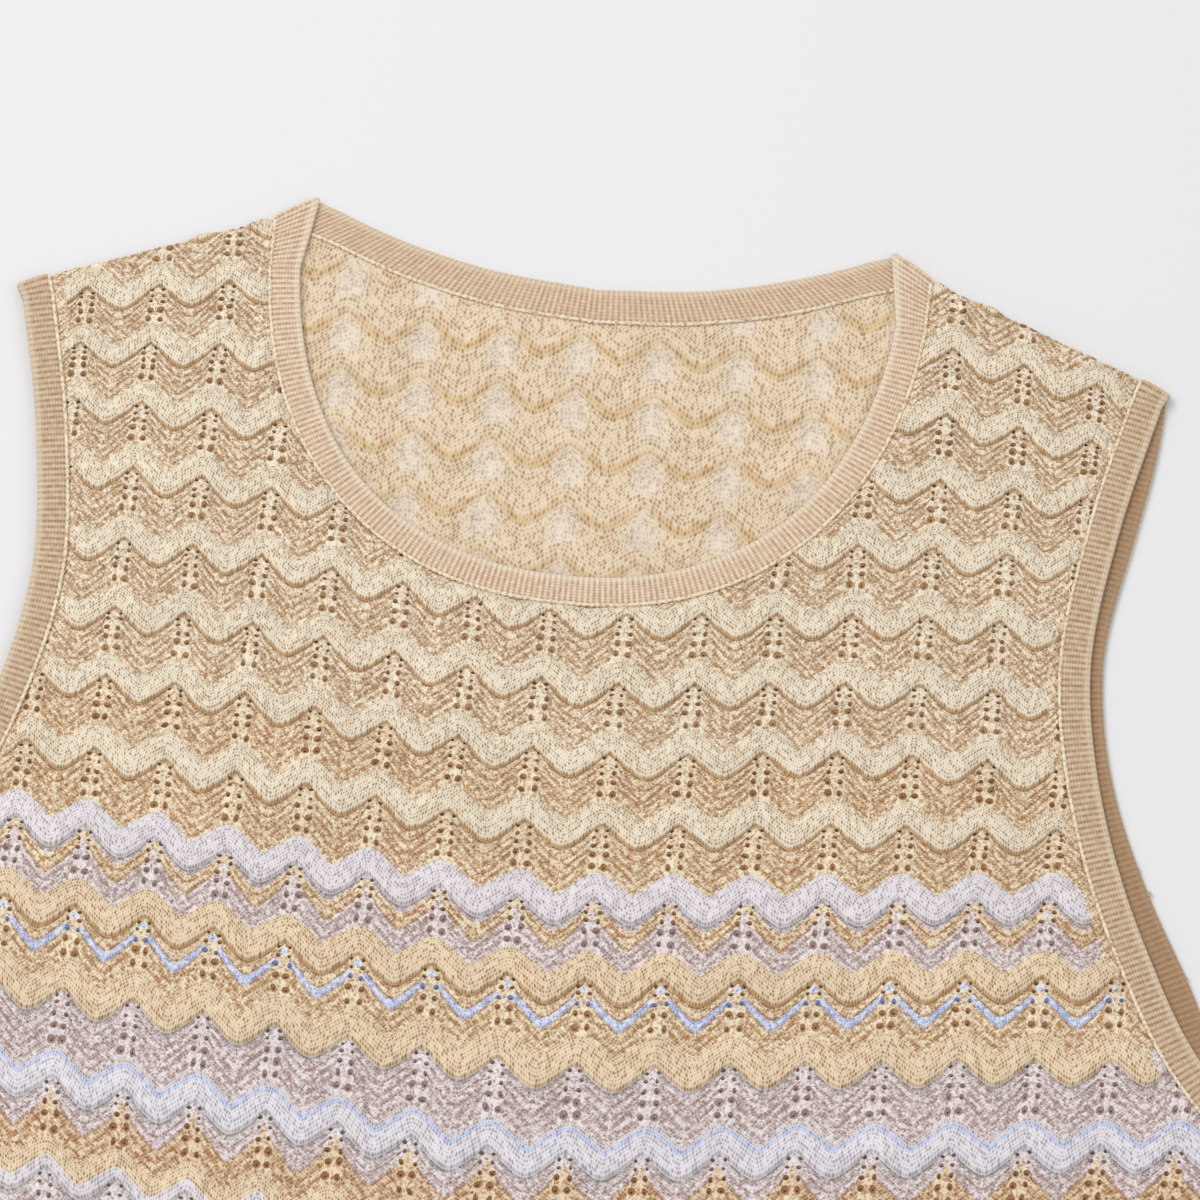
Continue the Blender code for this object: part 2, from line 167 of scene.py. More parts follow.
def zigzag(column, share):
    """0 at a peak and 1 at a valley. A welt's upper edge is round over the peaks and sharp in the
    valleys, and its lower edge the other way about."""
    from_peak = off_peak(column)
    turned = np.where(share < WELT_END, share / WELT_END, (1 - share) / (1 - WELT_END))
    peak_round = 0.12 - 0.105 * turned
    valley_round = 0.02 + 0.105 * turned**3
    to_peak = soft_abs(from_peak, peak_round)
    to_valley = soft_abs(0.5 - from_peak, valley_round)
    return to_peak / (to_peak + to_valley)


def row_bow(out, drop):
    """How far a row drops away from its place on the centre line: it rises towards the sides by a
    tanh above the chest and evenly below, and falls off again on the shoulders."""
    side_length = soft_abs(out, BOW_SOFT)
    rise_above = BOW_RISE * np.tanh(BOW_SLOPE * side_length / BOW_RISE)
    rise_below = np.where(out > 0, BOW_SLOPE_BELOW[1], BOW_SLOPE_BELOW[0]) * side_length
    rise = rise_above + (rise_below - rise_above) * smooth(185 * MM, 225 * MM, drop)
    shoulder = 0.2 * (1 - smooth(30 * MM, 110 * MM, drop))
    shoulder = shoulder * np.maximum(np.abs(out) - NECK_FOLD_SEAM[0], 0)
    return shoulder - rise * (1 - smooth(330 * MM, 600 * MM, drop))


def column_out(column, reach, drop):
    """Distance out of a column at any drop: an even step, less a hyperbola that narrows the columns
    towards the sides, scaled to the panel's half-width."""
    narrowing = np.where(column < 0, 2.3 * MM, -1.0 * MM) * soft_abs(column, 2.5)
    return (COLUMN_WIDTH * column + narrowing + COLUMN_SHIFT) * reach / UNDERARM_SEAM[0]


def hand_made(out, drop, seed):
    """A small unevenness between -1 and 1: three long waves across each other."""
    one = np.sin(out / (31 * MM) + 1.7 * seed) * np.sin(drop / (23 * MM) + 2.3 * seed)
    two = np.sin((out + drop) / (17 * MM) + 0.9 * seed)
    three = np.sin((out - 0.7 * drop) / (12.5 * MM) + 1.1 * seed)
    return 0.45 * one + 0.3 * two + 0.25 * three


def ripple_plan(columns, rows, share, starts, column_place, bow):
    """Plan of a grid in the stitch: the row's line on the centre line, its bow, and the zigzag,
    which is deeper in the stripes than in the welts."""
    column = np.broadcast_to(columns, (len(rows), len(columns)))
    share = share[:, None]
    height = np.diff(starts)[rows][:, None]
    wave = zigzag(column, np.clip(share, 0, 1))
    lag = np.where(share < WELT_END, share, WELT_END * (1 - share) / (1 - WELT_END)) * WAVE_LAG
    line = starts[rows][:, None] + share * height + lag * wave * height
    reach = np.where(line < UNDERARM_SEAM[1], UNDERARM_SEAM[0], half_width(line))
    out = column_place(column, reach, line)
    in_stripe = np.sin(np.pi * np.clip((share - WELT_END) / (1 - WELT_END), 0, 1))
    depth = RIPPLE_DEPTH + (RIPPLE_DEPTH_IN_STRIPE - RIPPLE_DEPTH) * in_stripe
    drop = line + bow(out, line) + (wave - 0.5) * depth
    inside = smooth(0, 12 * MM, half_width(drop) - np.abs(out))  # the edges stay in line
    above_hem = smooth(HEM_DROP, HEM_DROP - 40 * MM, drop)
    out = out + 0.5 * MM * hand_made(out, drop, 1.0) * inside
    return out, drop + 0.6 * MM * above_hem * hand_made(out, drop, 2.0)


def ripple_grid(first, last, half_marks, reach, marks, closing):
    """A grid of the stitch from row first to row last, with closing's marks after them: its lines
    across as columns, and for each line down its row, the place of its mark, and the mark."""
    half = np.array(half_marks)
    whole = np.arange(-int(reach) - 1, int(reach) + 2)
    columns = (whole[:, None] + np.concatenate([-half[::-1][:-1], half, [0.5]])[None, :]).ravel()
    columns = np.unique(np.round(columns, 6))
    columns = columns[np.abs(columns) < reach - 0.03]  # none right beside the edge
    columns = np.concatenate([[-reach], columns, [reach]])
    marks = np.array(marks)
    rows = np.repeat(np.arange(first, last), len(marks))
    places = np.tile(np.arange(len(marks)), last - first)
    table = np.concatenate([np.tile(marks, (last - first, 1)), np.array(closing).reshape(-1, 3)])
    rows = np.concatenate([rows, np.full(len(closing), last)]).astype(int)
    places = np.concatenate([places, -1 - np.arange(len(closing))]).astype(int)
    return columns, rows, places, table


def quads_of(index):
    """The four corners of each cell of a grid of vertex numbers, facing up."""
    corners = [index[:-1, :-1], index[1:, :-1], index[1:, 1:], index[:-1, 1:]]
    return np.stack(corners, axis=-1)


# Yarns, as sRGB hex: the welts' plain yarn with a darker colour for the painted shade in its pits
# and a random tint of its bumps, and the pale and dark plies of the stripes
YARNS = {
    "cream": ("EFE3CD", "9E7B50"),
    # a browner ply under each welt, darkened further as the welt's painted shadow
    "under_welt_brown_and_shade": ("D2B48B", "976E40"),
    "sand_heather": ("F6EAD3", "B2834F"),
    "lilac": ("E9E3E6", "9E9094"),
    "lilac_fringe": ("E0D8DA", "97867F"),
    "lilac_heather": ("EFE6E6", "A98A80"),
    "yellow": ("EBD7B8", "9A6F40"),
    "gold_heather": ("F4E5C8", "B07C47"),
    "gold_shade": ("EEDBBC", "AA713E"),
    "blue": ("E6E9F4", "97A5D4"),
    "pale_lilac": ("E8E4E8", "A097A0"),
    "blue_lilac": ("CFD6EC", "8090C8"),
}

# Stripes, each with the share of its row at which it starts. The cream rows end in a darker line
# under the welt, a browner ply with the welt's painted shadow on it; four rows of colours follow at
# the chest, and the skirt's six rows come again down to the hem.
CREAM_ROWS = 11
SAND_ROWS = 9
CHEST_STRIPES = (
    ((0, "lilac"), (WELT_END, "lilac_fringe"), (0.40, "gold_heather"), (0.64, "lilac_heather")),
    ((0, "yellow"), (0.318, "under_welt_brown_and_shade"), (0.362, "gold_heather"), (0.51, "blue"),
     (0.63, "gold_heather")),
    ((0, "yellow"), (WELT_END, "lilac_fringe"), (0.42, "lilac_heather")),
    ((0, "lilac_fringe"), (0.07, "blue_lilac"), (0.10, "pale_lilac"), (WELT_END, "lilac_fringe"),
     (0.42, "lilac_heather"), (0.62, "gold_shade")),
)
SKIRT_STRIPES = (
    ((0, "yellow"), (0.17, "lilac"), (WELT_END, "lilac_fringe"), (0.42, "lilac_heather")),
    ((0, "cream"), (WELT_END, "gold_heather"), (0.64, "lilac_heather")),
    ((0, "yellow"), (WELT_END, "gold_heather")),
    ((0, "pale_lilac"), (0.03, "blue_lilac"), (0.06, "pale_lilac"), (WELT_END, "lilac_heather"),
     (0.46, "gold_shade")),
    ((0, "yellow"), (WELT_END, "gold_heather"), (0.51, "blue"), (0.63, "gold_heather")),
    ((0, "yellow"), (WELT_END, "sand_heather")),
)


def stripe_list():
    """Every stripe from shoulder to hem: the row and share where it starts, and its yarn."""
    stripes = []
    for row in range(ROWS + 1):
        lower = row - CREAM_ROWS - len(CHEST_STRIPES)
        colour_rows = CHEST_STRIPES if lower < 0 else SKIRT_STRIPES
        if row < CREAM_ROWS:
            heather = "sand_heather" if row < SAND_ROWS else "gold_heather"
            # the darker line under the welt is its browner ply with painted shadow
            in_row = ((0, "cream"), (0.318, "under_welt_brown_and_shade"), (0.362, heather))
        else:
            in_row = colour_rows[lower % len(colour_rows)]
        stripes += [(row + share, yarn) for share, yarn in in_row]
    return stripes


def linear(hex_colour):
    """An sRGB hex colour as linear RGB."""
    value = np.array([int(hex_colour[i : i + 2], 16) for i in (0, 2, 4)]) / 255
    return np.where(value <= 0.04045, value / 12.92, ((value + 0.055) / 1.055) ** 2.4)


def plies(stripes, places):
    """Main and dark ply, as linear RGB, of the stripe that holds each place down the dress."""
    starts = np.array([start for start, _ in stripes])
    which = np.clip(np.searchsorted(starts, places, side="right") - 1, 0, len(stripes) - 1)
    main = np.array([linear(YARNS[yarn][0]) for _, yarn in stripes])
    dark = np.array([linear(YARNS[yarn][1]) for _, yarn in stripes])
    return main[which], dark[which]


def placed(name, data):
    """An object for a mesh, light or camera, at the origin of the scene."""
    thing = bpy.data.objects.new(name, data)
    bpy.context.scene.collection.objects.link(thing)
    return thing


def knit_mesh(name, points, faces, uv, colours, in_welt, pale_frame, groove_shade):
    """A mesh with its stitch coordinates and yarn colours: the two plies of a face's stripe on its
    corners, with the welt's flag and the groove's depth, which sets the painted shade, beside them."""
    mesh = bpy.data.meshes.new(name)
    mesh.vertices.add(len(points))
    mesh.vertices.foreach_set("co", np.asarray(points, np.float32).ravel())
    mesh.loops.add(faces.size)
    mesh.loops.foreach_set("vertex_index", faces.astype(np.int32).ravel())
    mesh.polygons.add(len(faces))
    mesh.polygons.foreach_set("loop_start", np.arange(0, faces.size, 4, dtype=np.int32))
    mesh.polygons.foreach_set("loop_total", np.full(len(faces), 4, np.int32))
    mesh.polygons.foreach_set("use_smooth", np.ones(len(faces), bool))
    mesh.uv_layers.new(name="stitch").data.foreach_set("uv", uv.astype(np.float32).ravel())
    flags = (np.repeat(in_welt[:, None], 4, axis=1), groove_shade[faces])
    for label, ply, flag in zip(("main_ply", "dark_ply"), colours, flags):
        corners = np.concatenate([np.repeat(ply[:, None], 4, axis=1), flag[..., None]], axis=-1)
        layer = mesh.color_attributes.new(name=label, type="FLOAT_COLOR", domain="CORNER")
        layer.data.foreach_set("color", corners.astype(np.float32).ravel())
    frame_layer = mesh.attributes.new(name="pale_frame", type="FLOAT", domain="POINT")
    frame_layer.data.foreach_set("value", np.asarray(pale_frame, np.float32))
    mesh.update(calc_edges=True)
    return placed(name, mesh)


def drop_unused(points, faces, *lists):
    """The points that the faces use, the faces renumbered, and the same rows of each list."""
    used, numbers = np.unique(faces, return_inverse=True)
    return (points[used], numbers.reshape(faces.shape), *[values[used] for values in lists])


WALES = 28  # stitches across a column: 0.85 mm each
LEAN = 0.585  # stitches that a wale gains a millimetre down a row, to stand square to the zigzag
COURSES = 24  # courses down a row, were all of it stripe: 1.2 mm each
DOTS_ACROSS = 26  # purl bumps across a column of the welt
DOTS_DOWN = 8  # and down its curve
HALF_COLUMN_STITCHES = 61  # added for each half column, so that its plies fall differently
LADDER_LEAD = 0.13  # of a row: the colours change this much higher up in the ladders
LADDER_WIDTH = 0.06  # of a column
BAND_MIDDLE = 0.57  # share at the middle of a narrow band, which the eyelets interrupt
BAND_HALF = 0.075
BAND_BREAK = (0.045, 0.115)  # of a column: the eyelets lie between these
EYELET_SEED = 11


def eyelets(columns, rows, places, out, drop, centres, seed, strength):
    """Opens the eyelets in a grid: the ring of eight points round each middle goes onto an ellipse,
    a little different for each, and the four cells inside it are marked as gone. strength scales
    the five sizes of eyelet down a stripe."""
    chance = np.random.default_rng(seed)
    at_side = np.abs(off_peak(columns) - EYELET_OUT) < 1e-4
    j_list = np.flatnonzero(np.isin(places, centres))
    j_list = j_list[(j_list > 0) & (j_list < len(rows) - 1)]
    i_list = np.flatnonzero(at_side)
    i_list = i_list[(i_list > 0) & (i_list < len(columns) - 1)]
    j, i = [g.ravel() for g in np.meshgrid(j_list, i_list, indexing="ij")]
    order = np.searchsorted(centres, places[j])
    height = np.diff(ROW_STARTS)[rows[j]] / ROW_AT_SKIRT
    strength = strength[order]
    across = EYELET_ACROSS[order] / 2 * chance.uniform(0.66, 1.14, len(j)) * strength
    down = EYELET_DOWN[order] / 2 * chance.uniform(0.66, 1.08, len(j)) * height * strength
    tilt = chance.normal(0, 0.25, len(j))
    shift = chance.normal(0, 0.19 * MM, (2, len(j)))
    middle_out, middle_drop = out[j, i] + shift[0], drop[j, i] + shift[1]
    ring = [(0, 1), (1, 1), (1, 0), (1, -1), (0, -1), (-1, -1), (-1, 0), (-1, 1)]
    rim = np.zeros(out.shape)
    for step, (down_by, out_by) in enumerate(ring):
        turn = step * np.pi / 4
        a, b = across * np.cos(turn), down * np.sin(turn)
        out[j + down_by, i + out_by] = middle_out + a * np.cos(tilt) - b * np.sin(tilt)
        drop[j + down_by, i + out_by] = middle_drop + a * np.sin(tilt) + b * np.cos(tilt)
        rim[j + down_by, i + out_by] = 1
    gone = np.zeros((out.shape[0] - 1, out.shape[1] - 1), bool)
    for down_by in (-1, 0):
        for out_by in (-1, 0):
            gone[j + down_by, i + out_by] = True
    index = np.arange(out.size).reshape(out.shape)
    rings = np.stack([index[j + down_by, i + out_by] for down_by, out_by in ring], axis=1)
    return gone, rim, rings


def stitch_uv(columns, rows, share):
    """Stitch coordinates at each point, first as the stripe counts them and then as the welt does:
    wales lean square to the zigzag, so their count grows with the drop as well as outwards."""
    from_peak = off_peak(columns)[None, :] + 0 * share[:, None]
    line = ROW_STARTS[rows] + share * np.diff(ROW_STARTS)[rows]
    stripe_across = WALES * from_peak + LEAN * line[:, None] / MM
    stripe_down = COURSES * (rows + share)[:, None] + 0 * from_peak
    welt_down = DOTS_DOWN * (rows + np.clip(share / WELT_END, 0, 1))[:, None] + 0 * from_peak
    stripe = np.stack([stripe_across, stripe_down], axis=-1)
    welt = np.stack([DOTS_ACROSS * from_peak, welt_down], axis=-1)
    return stripe.reshape(-1, 2), welt.reshape(-1, 2)


def half_column_of(faces, columns):
    """Number of each face's half column, counted from beyond the panel's edge."""
    return np.floor(2 * columns[faces % len(columns)].mean(axis=1)) + 2 * np.ceil(columns[-1])


def colour_place(faces, columns, middle):
    """Place down the dress that gives a face its colours: the stripe below where it is in a ladder,
    and the stripe above where the eyelets break a narrow band."""
    aside = off_peak(columns[faces % len(columns)].mean(axis=1))
    ladder = np.exp(-((aside / LADDER_WIDTH) ** 2))
    part = middle % 1
    lead = LADDER_LEAD * ladder * smooth(WELT_END, WELT_END + 0.08, part)
    part = np.where(part > WELT_END, np.minimum(part + lead, 0.999), part)
    at_eyelets = (aside > BAND_BREAK[0]) & (aside < BAND_BREAK[1])
    broken = at_eyelets & (np.abs(part - BAND_MIDDLE) < BAND_HALF)
    return np.floor(middle) + np.where(broken, BAND_MIDDLE - 0.09, part)


def by_stripe(faces, width, rows, share):
    """Row and share at each face's corners: a cell's last line may be the next row's first."""
    row, part = rows[faces // width], share[faces // width]
    last = row.max(axis=1)[:, None]
    wraps = (row == last) & (row.min(axis=1)[:, None] != last)
    return np.where(wraps, row - 1, row), np.where(wraps, 1.0, part)


# ---------------------------------------------------------------------------------------------
# Front panel: the ripple's right side, in four lengths that run on from each other without a
# join. It lies on the back at its seams, rises a little between them, and its edges roll over.
# ---------------------------------------------------------------------------------------------

FRONT_NECK_HALF = 104 * MM
FRONT_NECK_TOP = 9 * MM
FRONT_NECK_DEPTH = 121 * MM
FRONT_NECK_SQUARENESS = 2.25

# How far out the back's armhole seam lies from the front's, on the wearer's left
BACK_SHIFT_DROP = np.array([35, 60, 135, 180, 210, 240, 270, 296]) * MM
BACK_SHIFT_OUT = np.array([0, 4, 4, 5, 7.5, 9.5, 6.5, 0]) * MM

WALL = 1.5 * MM  # thickness of the cloth
SEAM_GAP = 0.3 * MM
SHOULDER_RUN = (TIP_FOLD_SEAM - NECK_FOLD_SEAM) / np.linalg.norm(TIP_FOLD_SEAM - NECK_FOLD_SEAM)
FAR_INSIDE = -1.0  # stands for a distance where a seam has no say

FRONT_RISE = 2.4 * MM
RISE_WIDTH = 55 * MM
EDGE_ROUND = 1.65 * MM  # how the cloth rolls over at the shoulder and the sides
BAND_THICKNESS = 1.8 * MM
NECKBAND_RISE = 1.6 * MM
BACK_LEVEL = BAND_THICKNESS / 2
FRONT_LEVEL = BACK_LEVEL + BAND_THICKNESS + SEAM_GAP

FOLDS = (
    {"out": -120, "drop": 330, "turn": 35, "length": 190, "width": 30, "height": 0.9},
    {"out": 135, "drop": 345, "turn": -30, "length": 210, "width": 34, "height": 1.0},
    {"out": -60, "drop": 560, "turn": 82, "length": 330, "width": 40, "height": 0.8},
    {"out": 95, "drop": 640, "turn": 96, "length": 380, "width": 44, "height": 0.9},
    {"out": 5, "drop": 760, "turn": 88, "length": 260, "width": 36, "height": 0.6},
)


def past_shoulder(out, drop):
    """Distance past the line of the shoulder seam, up and away from the panel."""
    across, down = np.abs(out) - NECK_FOLD_SEAM[0], drop - NECK_FOLD_SEAM[1]
    return SHOULDER_RUN[1] * across - SHOULDER_RUN[0] * down


def past_side(out, drop):
    """Distance out past the side seam, which starts at the underarm."""
    return np.where(drop > UNDERARM_SEAM[1], np.abs(out) - half_width(drop), FAR_INSIDE)


def past_armhole(out, drop, shift):
    """Distance past the armhole seam: the gap across, times the cosine of the seam's lean."""
    seam = along(ARMHOLE_DROP, ARMHOLE_OUT, drop)
    seam = seam + np.where(out > 0, shift, 0) * along(BACK_SHIFT_DROP, BACK_SHIFT_OUT, drop)
    above, below = (along(ARMHOLE_DROP, ARMHOLE_OUT, drop + step) for step in (-MM, MM))
    gap = (np.abs(out) - seam) / np.sqrt(1 + ((below - above) / (2 * MM)) ** 2)
    beside = (drop > TIP_FOLD_SEAM[1] - 6 * MM) & (drop < UNDERARM_SEAM[1] + MM)
    return np.where(beside, gap, FAR_INSIDE)


def past_front_neck(out, drop):
    """Distance past the front neck seam, into the opening: one less the superellipse's level, over
    that level's slope."""
    across = np.abs(out) / FRONT_NECK_HALF
    down = np.maximum(drop - FRONT_NECK_TOP, 0) / FRONT_NECK_DEPTH
    power = FRONT_NECK_SQUARENESS
    level = np.maximum((across**power + down**power) ** (1 / power), 1e-3)
    slope_out = (across / level) ** (power - 1) / FRONT_NECK_HALF
    slope_down = (down / level) ** (power - 1) / FRONT_NECK_DEPTH
    return (1 - level) / np.maximum(np.hypot(slope_out, slope_down), 1e-3)


def fold_height(out, drop):
    """Height of the soft folds: each is a long bump, rounded along and across."""
    height = np.zeros_like(drop)
    for fold in FOLDS:
        turn = np.radians(fold["turn"])
        side, down = out - fold["out"] * MM, drop - fold["drop"] * MM
        length = (side * np.cos(turn) + down * np.sin(turn)) / (fold["length"] / 2 * MM)
        across = (down * np.cos(turn) - side * np.sin(turn)) / (fold["width"] / 2 * MM)
        height += fold["height"] * MM * np.exp(-(length**2) - across**2)
    return height


def front_inside(out, drop):
    """Height of the front panel's inside: just over the back at its seams, higher between them."""
    inner = smooth(0, RISE_WIDTH, half_width(drop) - np.abs(out))
    inner = inner * smooth(0, RISE_WIDTH, HEM_DROP - drop)
    inner = inner * smooth(0, RISE_WIDTH, -past_shoulder(out, drop))
    return WALL + SEAM_GAP + inner * (FRONT_RISE + fold_height(out, drop))


def neckband_level(drop):
    """Height of the neckband's middle at this drop of the front neck seam."""
    turn = np.clip((drop - FRONT_NECK_TOP) / FRONT_NECK_DEPTH, 0, 1) ** 1.125
    return FRONT_LEVEL + NECKBAND_RISE * turn**0.7


def front_shell(out, drop, relief):
    """World places of the front, and how far each has turned over an edge: relief stands on the
    base, which rolls over the shoulder and side edges on a circle and tucks under the bands."""
    base = front_inside(out, drop) + WALL
    neck, arm = past_front_neck(out, drop), past_armhole(out, drop, 0)
    tuck_neck, tuck_arm = smooth(-3.2 * MM, 0.3 * MM, neck), smooth(-2.6 * MM, 0.3 * MM, arm)
    relief = relief * (1 - 0.9 * tuck_neck) * (1 - 0.9 * tuck_arm)
    base = base + (neckband_level(drop) - 0.1 * MM - base) * tuck_neck
    base = base + (FRONT_LEVEL - 0.2 * MM - base) * tuck_arm
    shoulder, side = past_shoulder(out, drop), past_side(out, drop)
    away = np.where((shoulder > side)[..., None], [SHOULDER_RUN[1], -SHOULDER_RUN[0]], [1.0, 0.0])
    past = np.maximum(shoulder, side)
    turn = np.clip((past + EDGE_ROUND) / EDGE_ROUND, 0, 2.0)
    rolled = -EDGE_ROUND + (EDGE_ROUND + relief) * np.sin(turn)
    shift = np.where(turn > 0, rolled - past, 0)
    rolled_height = base - EDGE_ROUND + (EDGE_ROUND + relief) * np.cos(turn)
    height = np.where(turn > 0, rolled_height, base + relief)
    out = out + np.sign(out) * shift * away[..., 0]
    drop = drop + shift * away[..., 1]
    return np.stack([out, NECK_Y - drop, height], axis=-1), turn


def least_of(past):
    """The least of each cell's four corners."""
    upper = np.minimum(past[:-1, :-1], past[:-1, 1:])
    return np.minimum(upper, np.minimum(past[1:, :-1], past[1:, 1:]))


EYELET_WALL = 1.1 * MM  # thickness of the threads round an eyelet
EYELET_PAINTED_SHADE = 2.0  # a groove depth past full, so each eyelet's wall is painted in its dark ply: painted shade inside the hole
FUNNEL = 0.84  # an eyelet narrows by this share through the thickness of its threads
BESIDE_ARM = 3.4 * MM  # next to the armhole the welts are flat and plain
BAND_COVERS = 2.0 * MM  # the cloth goes on this far past a seam, under its band
EDGE_TURNS = 1.9  # and this far over an edge, in radians


def eyelet_walls(points, rings):
    """The wall of each eyelet: its rim's points once more, and a smaller ring below them."""
    lip = points[rings]
    deep = lip.copy()
    deep[..., :2] -= FUNNEL * (deep[..., :2] - deep[..., :2].mean(axis=1, keepdims=True))
    deep[..., 2] -= EYELET_WALL
    at_lip = len(points) + np.arange(rings.size).reshape(rings.shape)
    below = at_lip + rings.size
    faces = np.stack([at_lip, below, np.roll(below, -1, 1), np.roll(at_lip, -1, 1)], axis=-1)
    return np.concatenate([points, lip.reshape(-1, 3), deep.reshape(-1, 3)]), faces.reshape(-1, 4)


def front_length(name, first, last, half_marks, marks, eyelet_marks, closing):
    """One length of the front, from row first to row last, with its eyelets open and its cells past
    the seams taken off."""
    columns, rows, places, table = ripple_grid(
        first, last, half_marks, COLUMN_REACH, marks, closing
    )
    share, lift, flute = table[:, 0], table[:, 1][:, None], table[:, 2][:, None]
    out, drop = ripple_plan(columns, rows, share, ROW_STARTS, column_out, row_bow)
    strength = np.ones(len(EYELET_ACROSS))
    centres = np.array(eyelet_marks)
    gone, rim, rings = eyelets(
        columns, rows, places, out, drop, centres, EYELET_SEED + first, strength
    )

    from_peak = off_peak(columns)[None, :]
    spine = np.exp(-((from_peak / 0.03) ** 2)) + 0.5 * np.exp(-(((0.5 - from_peak) / 0.03) ** 2))
    spine = spine * (share > WELT_END)[:, None]
    relief = lift * WELT_HEIGHT * (1 + 0.10 * hand_made(out, drop, 3.0))
    relief = relief + (flute * (1 - 0.5 * spine) + 0.16 * spine + 0.22 * rim) * MM
    neck, arm = past_front_neck(out, drop), past_armhole(out, drop, 0)
    relief = relief * (1 - 0.6 * smooth(-5.0 * MM, -3.0 * MM, arm))
    points, turn = front_shell(out, drop, relief)
    points = points.reshape(-1, 3)
    keep = ~gone & (least_of(neck) < BAND_COVERS) & (least_of(arm) < BAND_COVERS)
    keep &= least_of(turn) < EDGE_TURNS
    faces = quads_of(np.arange(out.size).reshape(out.shape))[keep]

    row, part = by_stripe(faces, len(columns), rows, share)
    middle = (row + part).mean(axis=1)
    beside_arm = arm.ravel()[faces].mean(axis=1) > -BESIDE_ARM
    in_welt = ((middle % 1 < WELT_END) & ~beside_arm).astype(float)
    stripe_uv, welt_uv = stitch_uv(columns, rows, share)
    uv = np.where(in_welt[:, None, None] > 0, welt_uv[faces], stripe_uv[faces])
    uv[..., 0] += HALF_COLUMN_STITCHES * half_column_of(faces, columns)[:, None]
    middle = np.where(beside_arm, np.floor(middle) + 0.45, colour_place(faces, columns, middle))
    # painted shade: the stripe is darker in the flutes' grooves, less so on the eyelets' rims
    groove_shade = ((np.clip(-flute / 0.4, 0, 1) + 0 * out) * (1 - 0.8 * rim)).ravel()
    pale_frame = np.clip(rim + 0.8 * spine, 0, 1).ravel()

    used = np.zeros(len(points), bool)
    used[faces] = True
    rings = rings[used[rings].all(axis=1)]
    points, wall = eyelet_walls(points, rings)
    points[:, 2] = np.maximum(points[:, 2], 0.2 * MM)
    # the eyelets' walls are painted shade: full groove depth and no pale frame
    groove_shade = np.concatenate([groove_shade, np.full(2 * rings.size, EYELET_PAINTED_SHADE)])
    pale_frame = np.concatenate([pale_frame, np.zeros(2 * rings.size)])
    ring_line = np.repeat(rings[:, 0] // len(columns), rings.shape[1])
    middle = np.concatenate([middle, (rows + share)[ring_line]])
    in_welt = np.concatenate([in_welt, np.zeros(len(wall))])
    after = np.roll(rings, -1, axis=1)
    wall_corners = np.stack([rings, rings, after, after], axis=-1).reshape(-1, 4)
    uv = np.concatenate([uv, stripe_uv[wall_corners]])
    faces = np.concatenate([faces, wall])
    points, faces, pale_frame, groove_shade = drop_unused(points, faces, pale_frame, groove_shade)
    return knit_mesh(name, points, faces, uv, plies(STRIPES, middle), in_welt, pale_frame, groove_shade)


STRIPES = stripe_list()
HEM_MARKS = WELT_MARKS[:-1] + ((0.323, -0.35, 0.0), (0.302, -0.72, 0.0), (0.20, -0.80, 0.0))
ALL_MARKS = WELT_MARKS + STRIPE_MARKS
ALL_EYELETS = tuple(len(WELT_MARKS) + place for place in EYELET_MARKS)
# The skirt's lengths have fewer marks, because nobody sees them as close
SKIRT_WELT = WELT_MARKS[:1] + WELT_MARKS[1:9:2] + WELT_MARKS[8:]
SKIRT_STRIPE = tuple(mark for place, mark in enumerate(STRIPE_MARKS) if place not in (7, 11, 15))
SKIRT_MARKS = SKIRT_WELT + SKIRT_STRIPE
SKIRT_EYELETS = tuple(SKIRT_MARKS.index(STRIPE_MARKS[place]) for place in EYELET_MARKS)
CHEST_ROW, WAIST_ROW, HIP_ROW = 9, 15, 25
FINE = (FINE_COLUMN, ALL_MARKS, ALL_EYELETS)
PLAIN = (PLAIN_COLUMN, SKIRT_MARKS, SKIRT_EYELETS)

front_yoke = front_length("front_yoke", 0, CHEST_ROW, *FINE, ALL_MARKS[:1])
front_chest = front_length("front_chest", CHEST_ROW, WAIST_ROW, *FINE, ALL_MARKS[:1])
front_waist = front_length("front_waist", WAIST_ROW, HIP_ROW, *PLAIN, ALL_MARKS[:1])
front_skirt = front_length("front_skirt", HIP_ROW, ROWS, *PLAIN, HEM_MARKS)


def add(tree, kind, *values, put=(), out=0, **settings):
    """Adds a shader node, sets its properties, and fills its inputs with links or numbers: values
    go in in order, and put names the rest. It gives back the output asked for."""
    made = tree.nodes.new("ShaderNode" + kind)
    for key, value in settings.items():
        setattr(made, key, value)
    for key, value in [*enumerate(values), *dict(put).items()]:
        if isinstance(value, bpy.types.NodeSocket):
            tree.links.new(value, made.inputs[key])
        else:
            made.inputs[key].default_value = value
    return made.outputs[out]


def yarn_material(name, roughness, specular, sheen):
    """A matt material of spun yarn, its node tree and its shader, still without a colour."""
    material = bpy.data.materials.new(name)
    material.use_nodes = True
    shader = material.node_tree.nodes["Principled BSDF"]
    shader.inputs["Roughness"].default_value = roughness
    shader.inputs["Specular IOR Level"].default_value = specular
    shader.inputs["Sheen Weight"].default_value = sheen
    return material, material.node_tree, shader


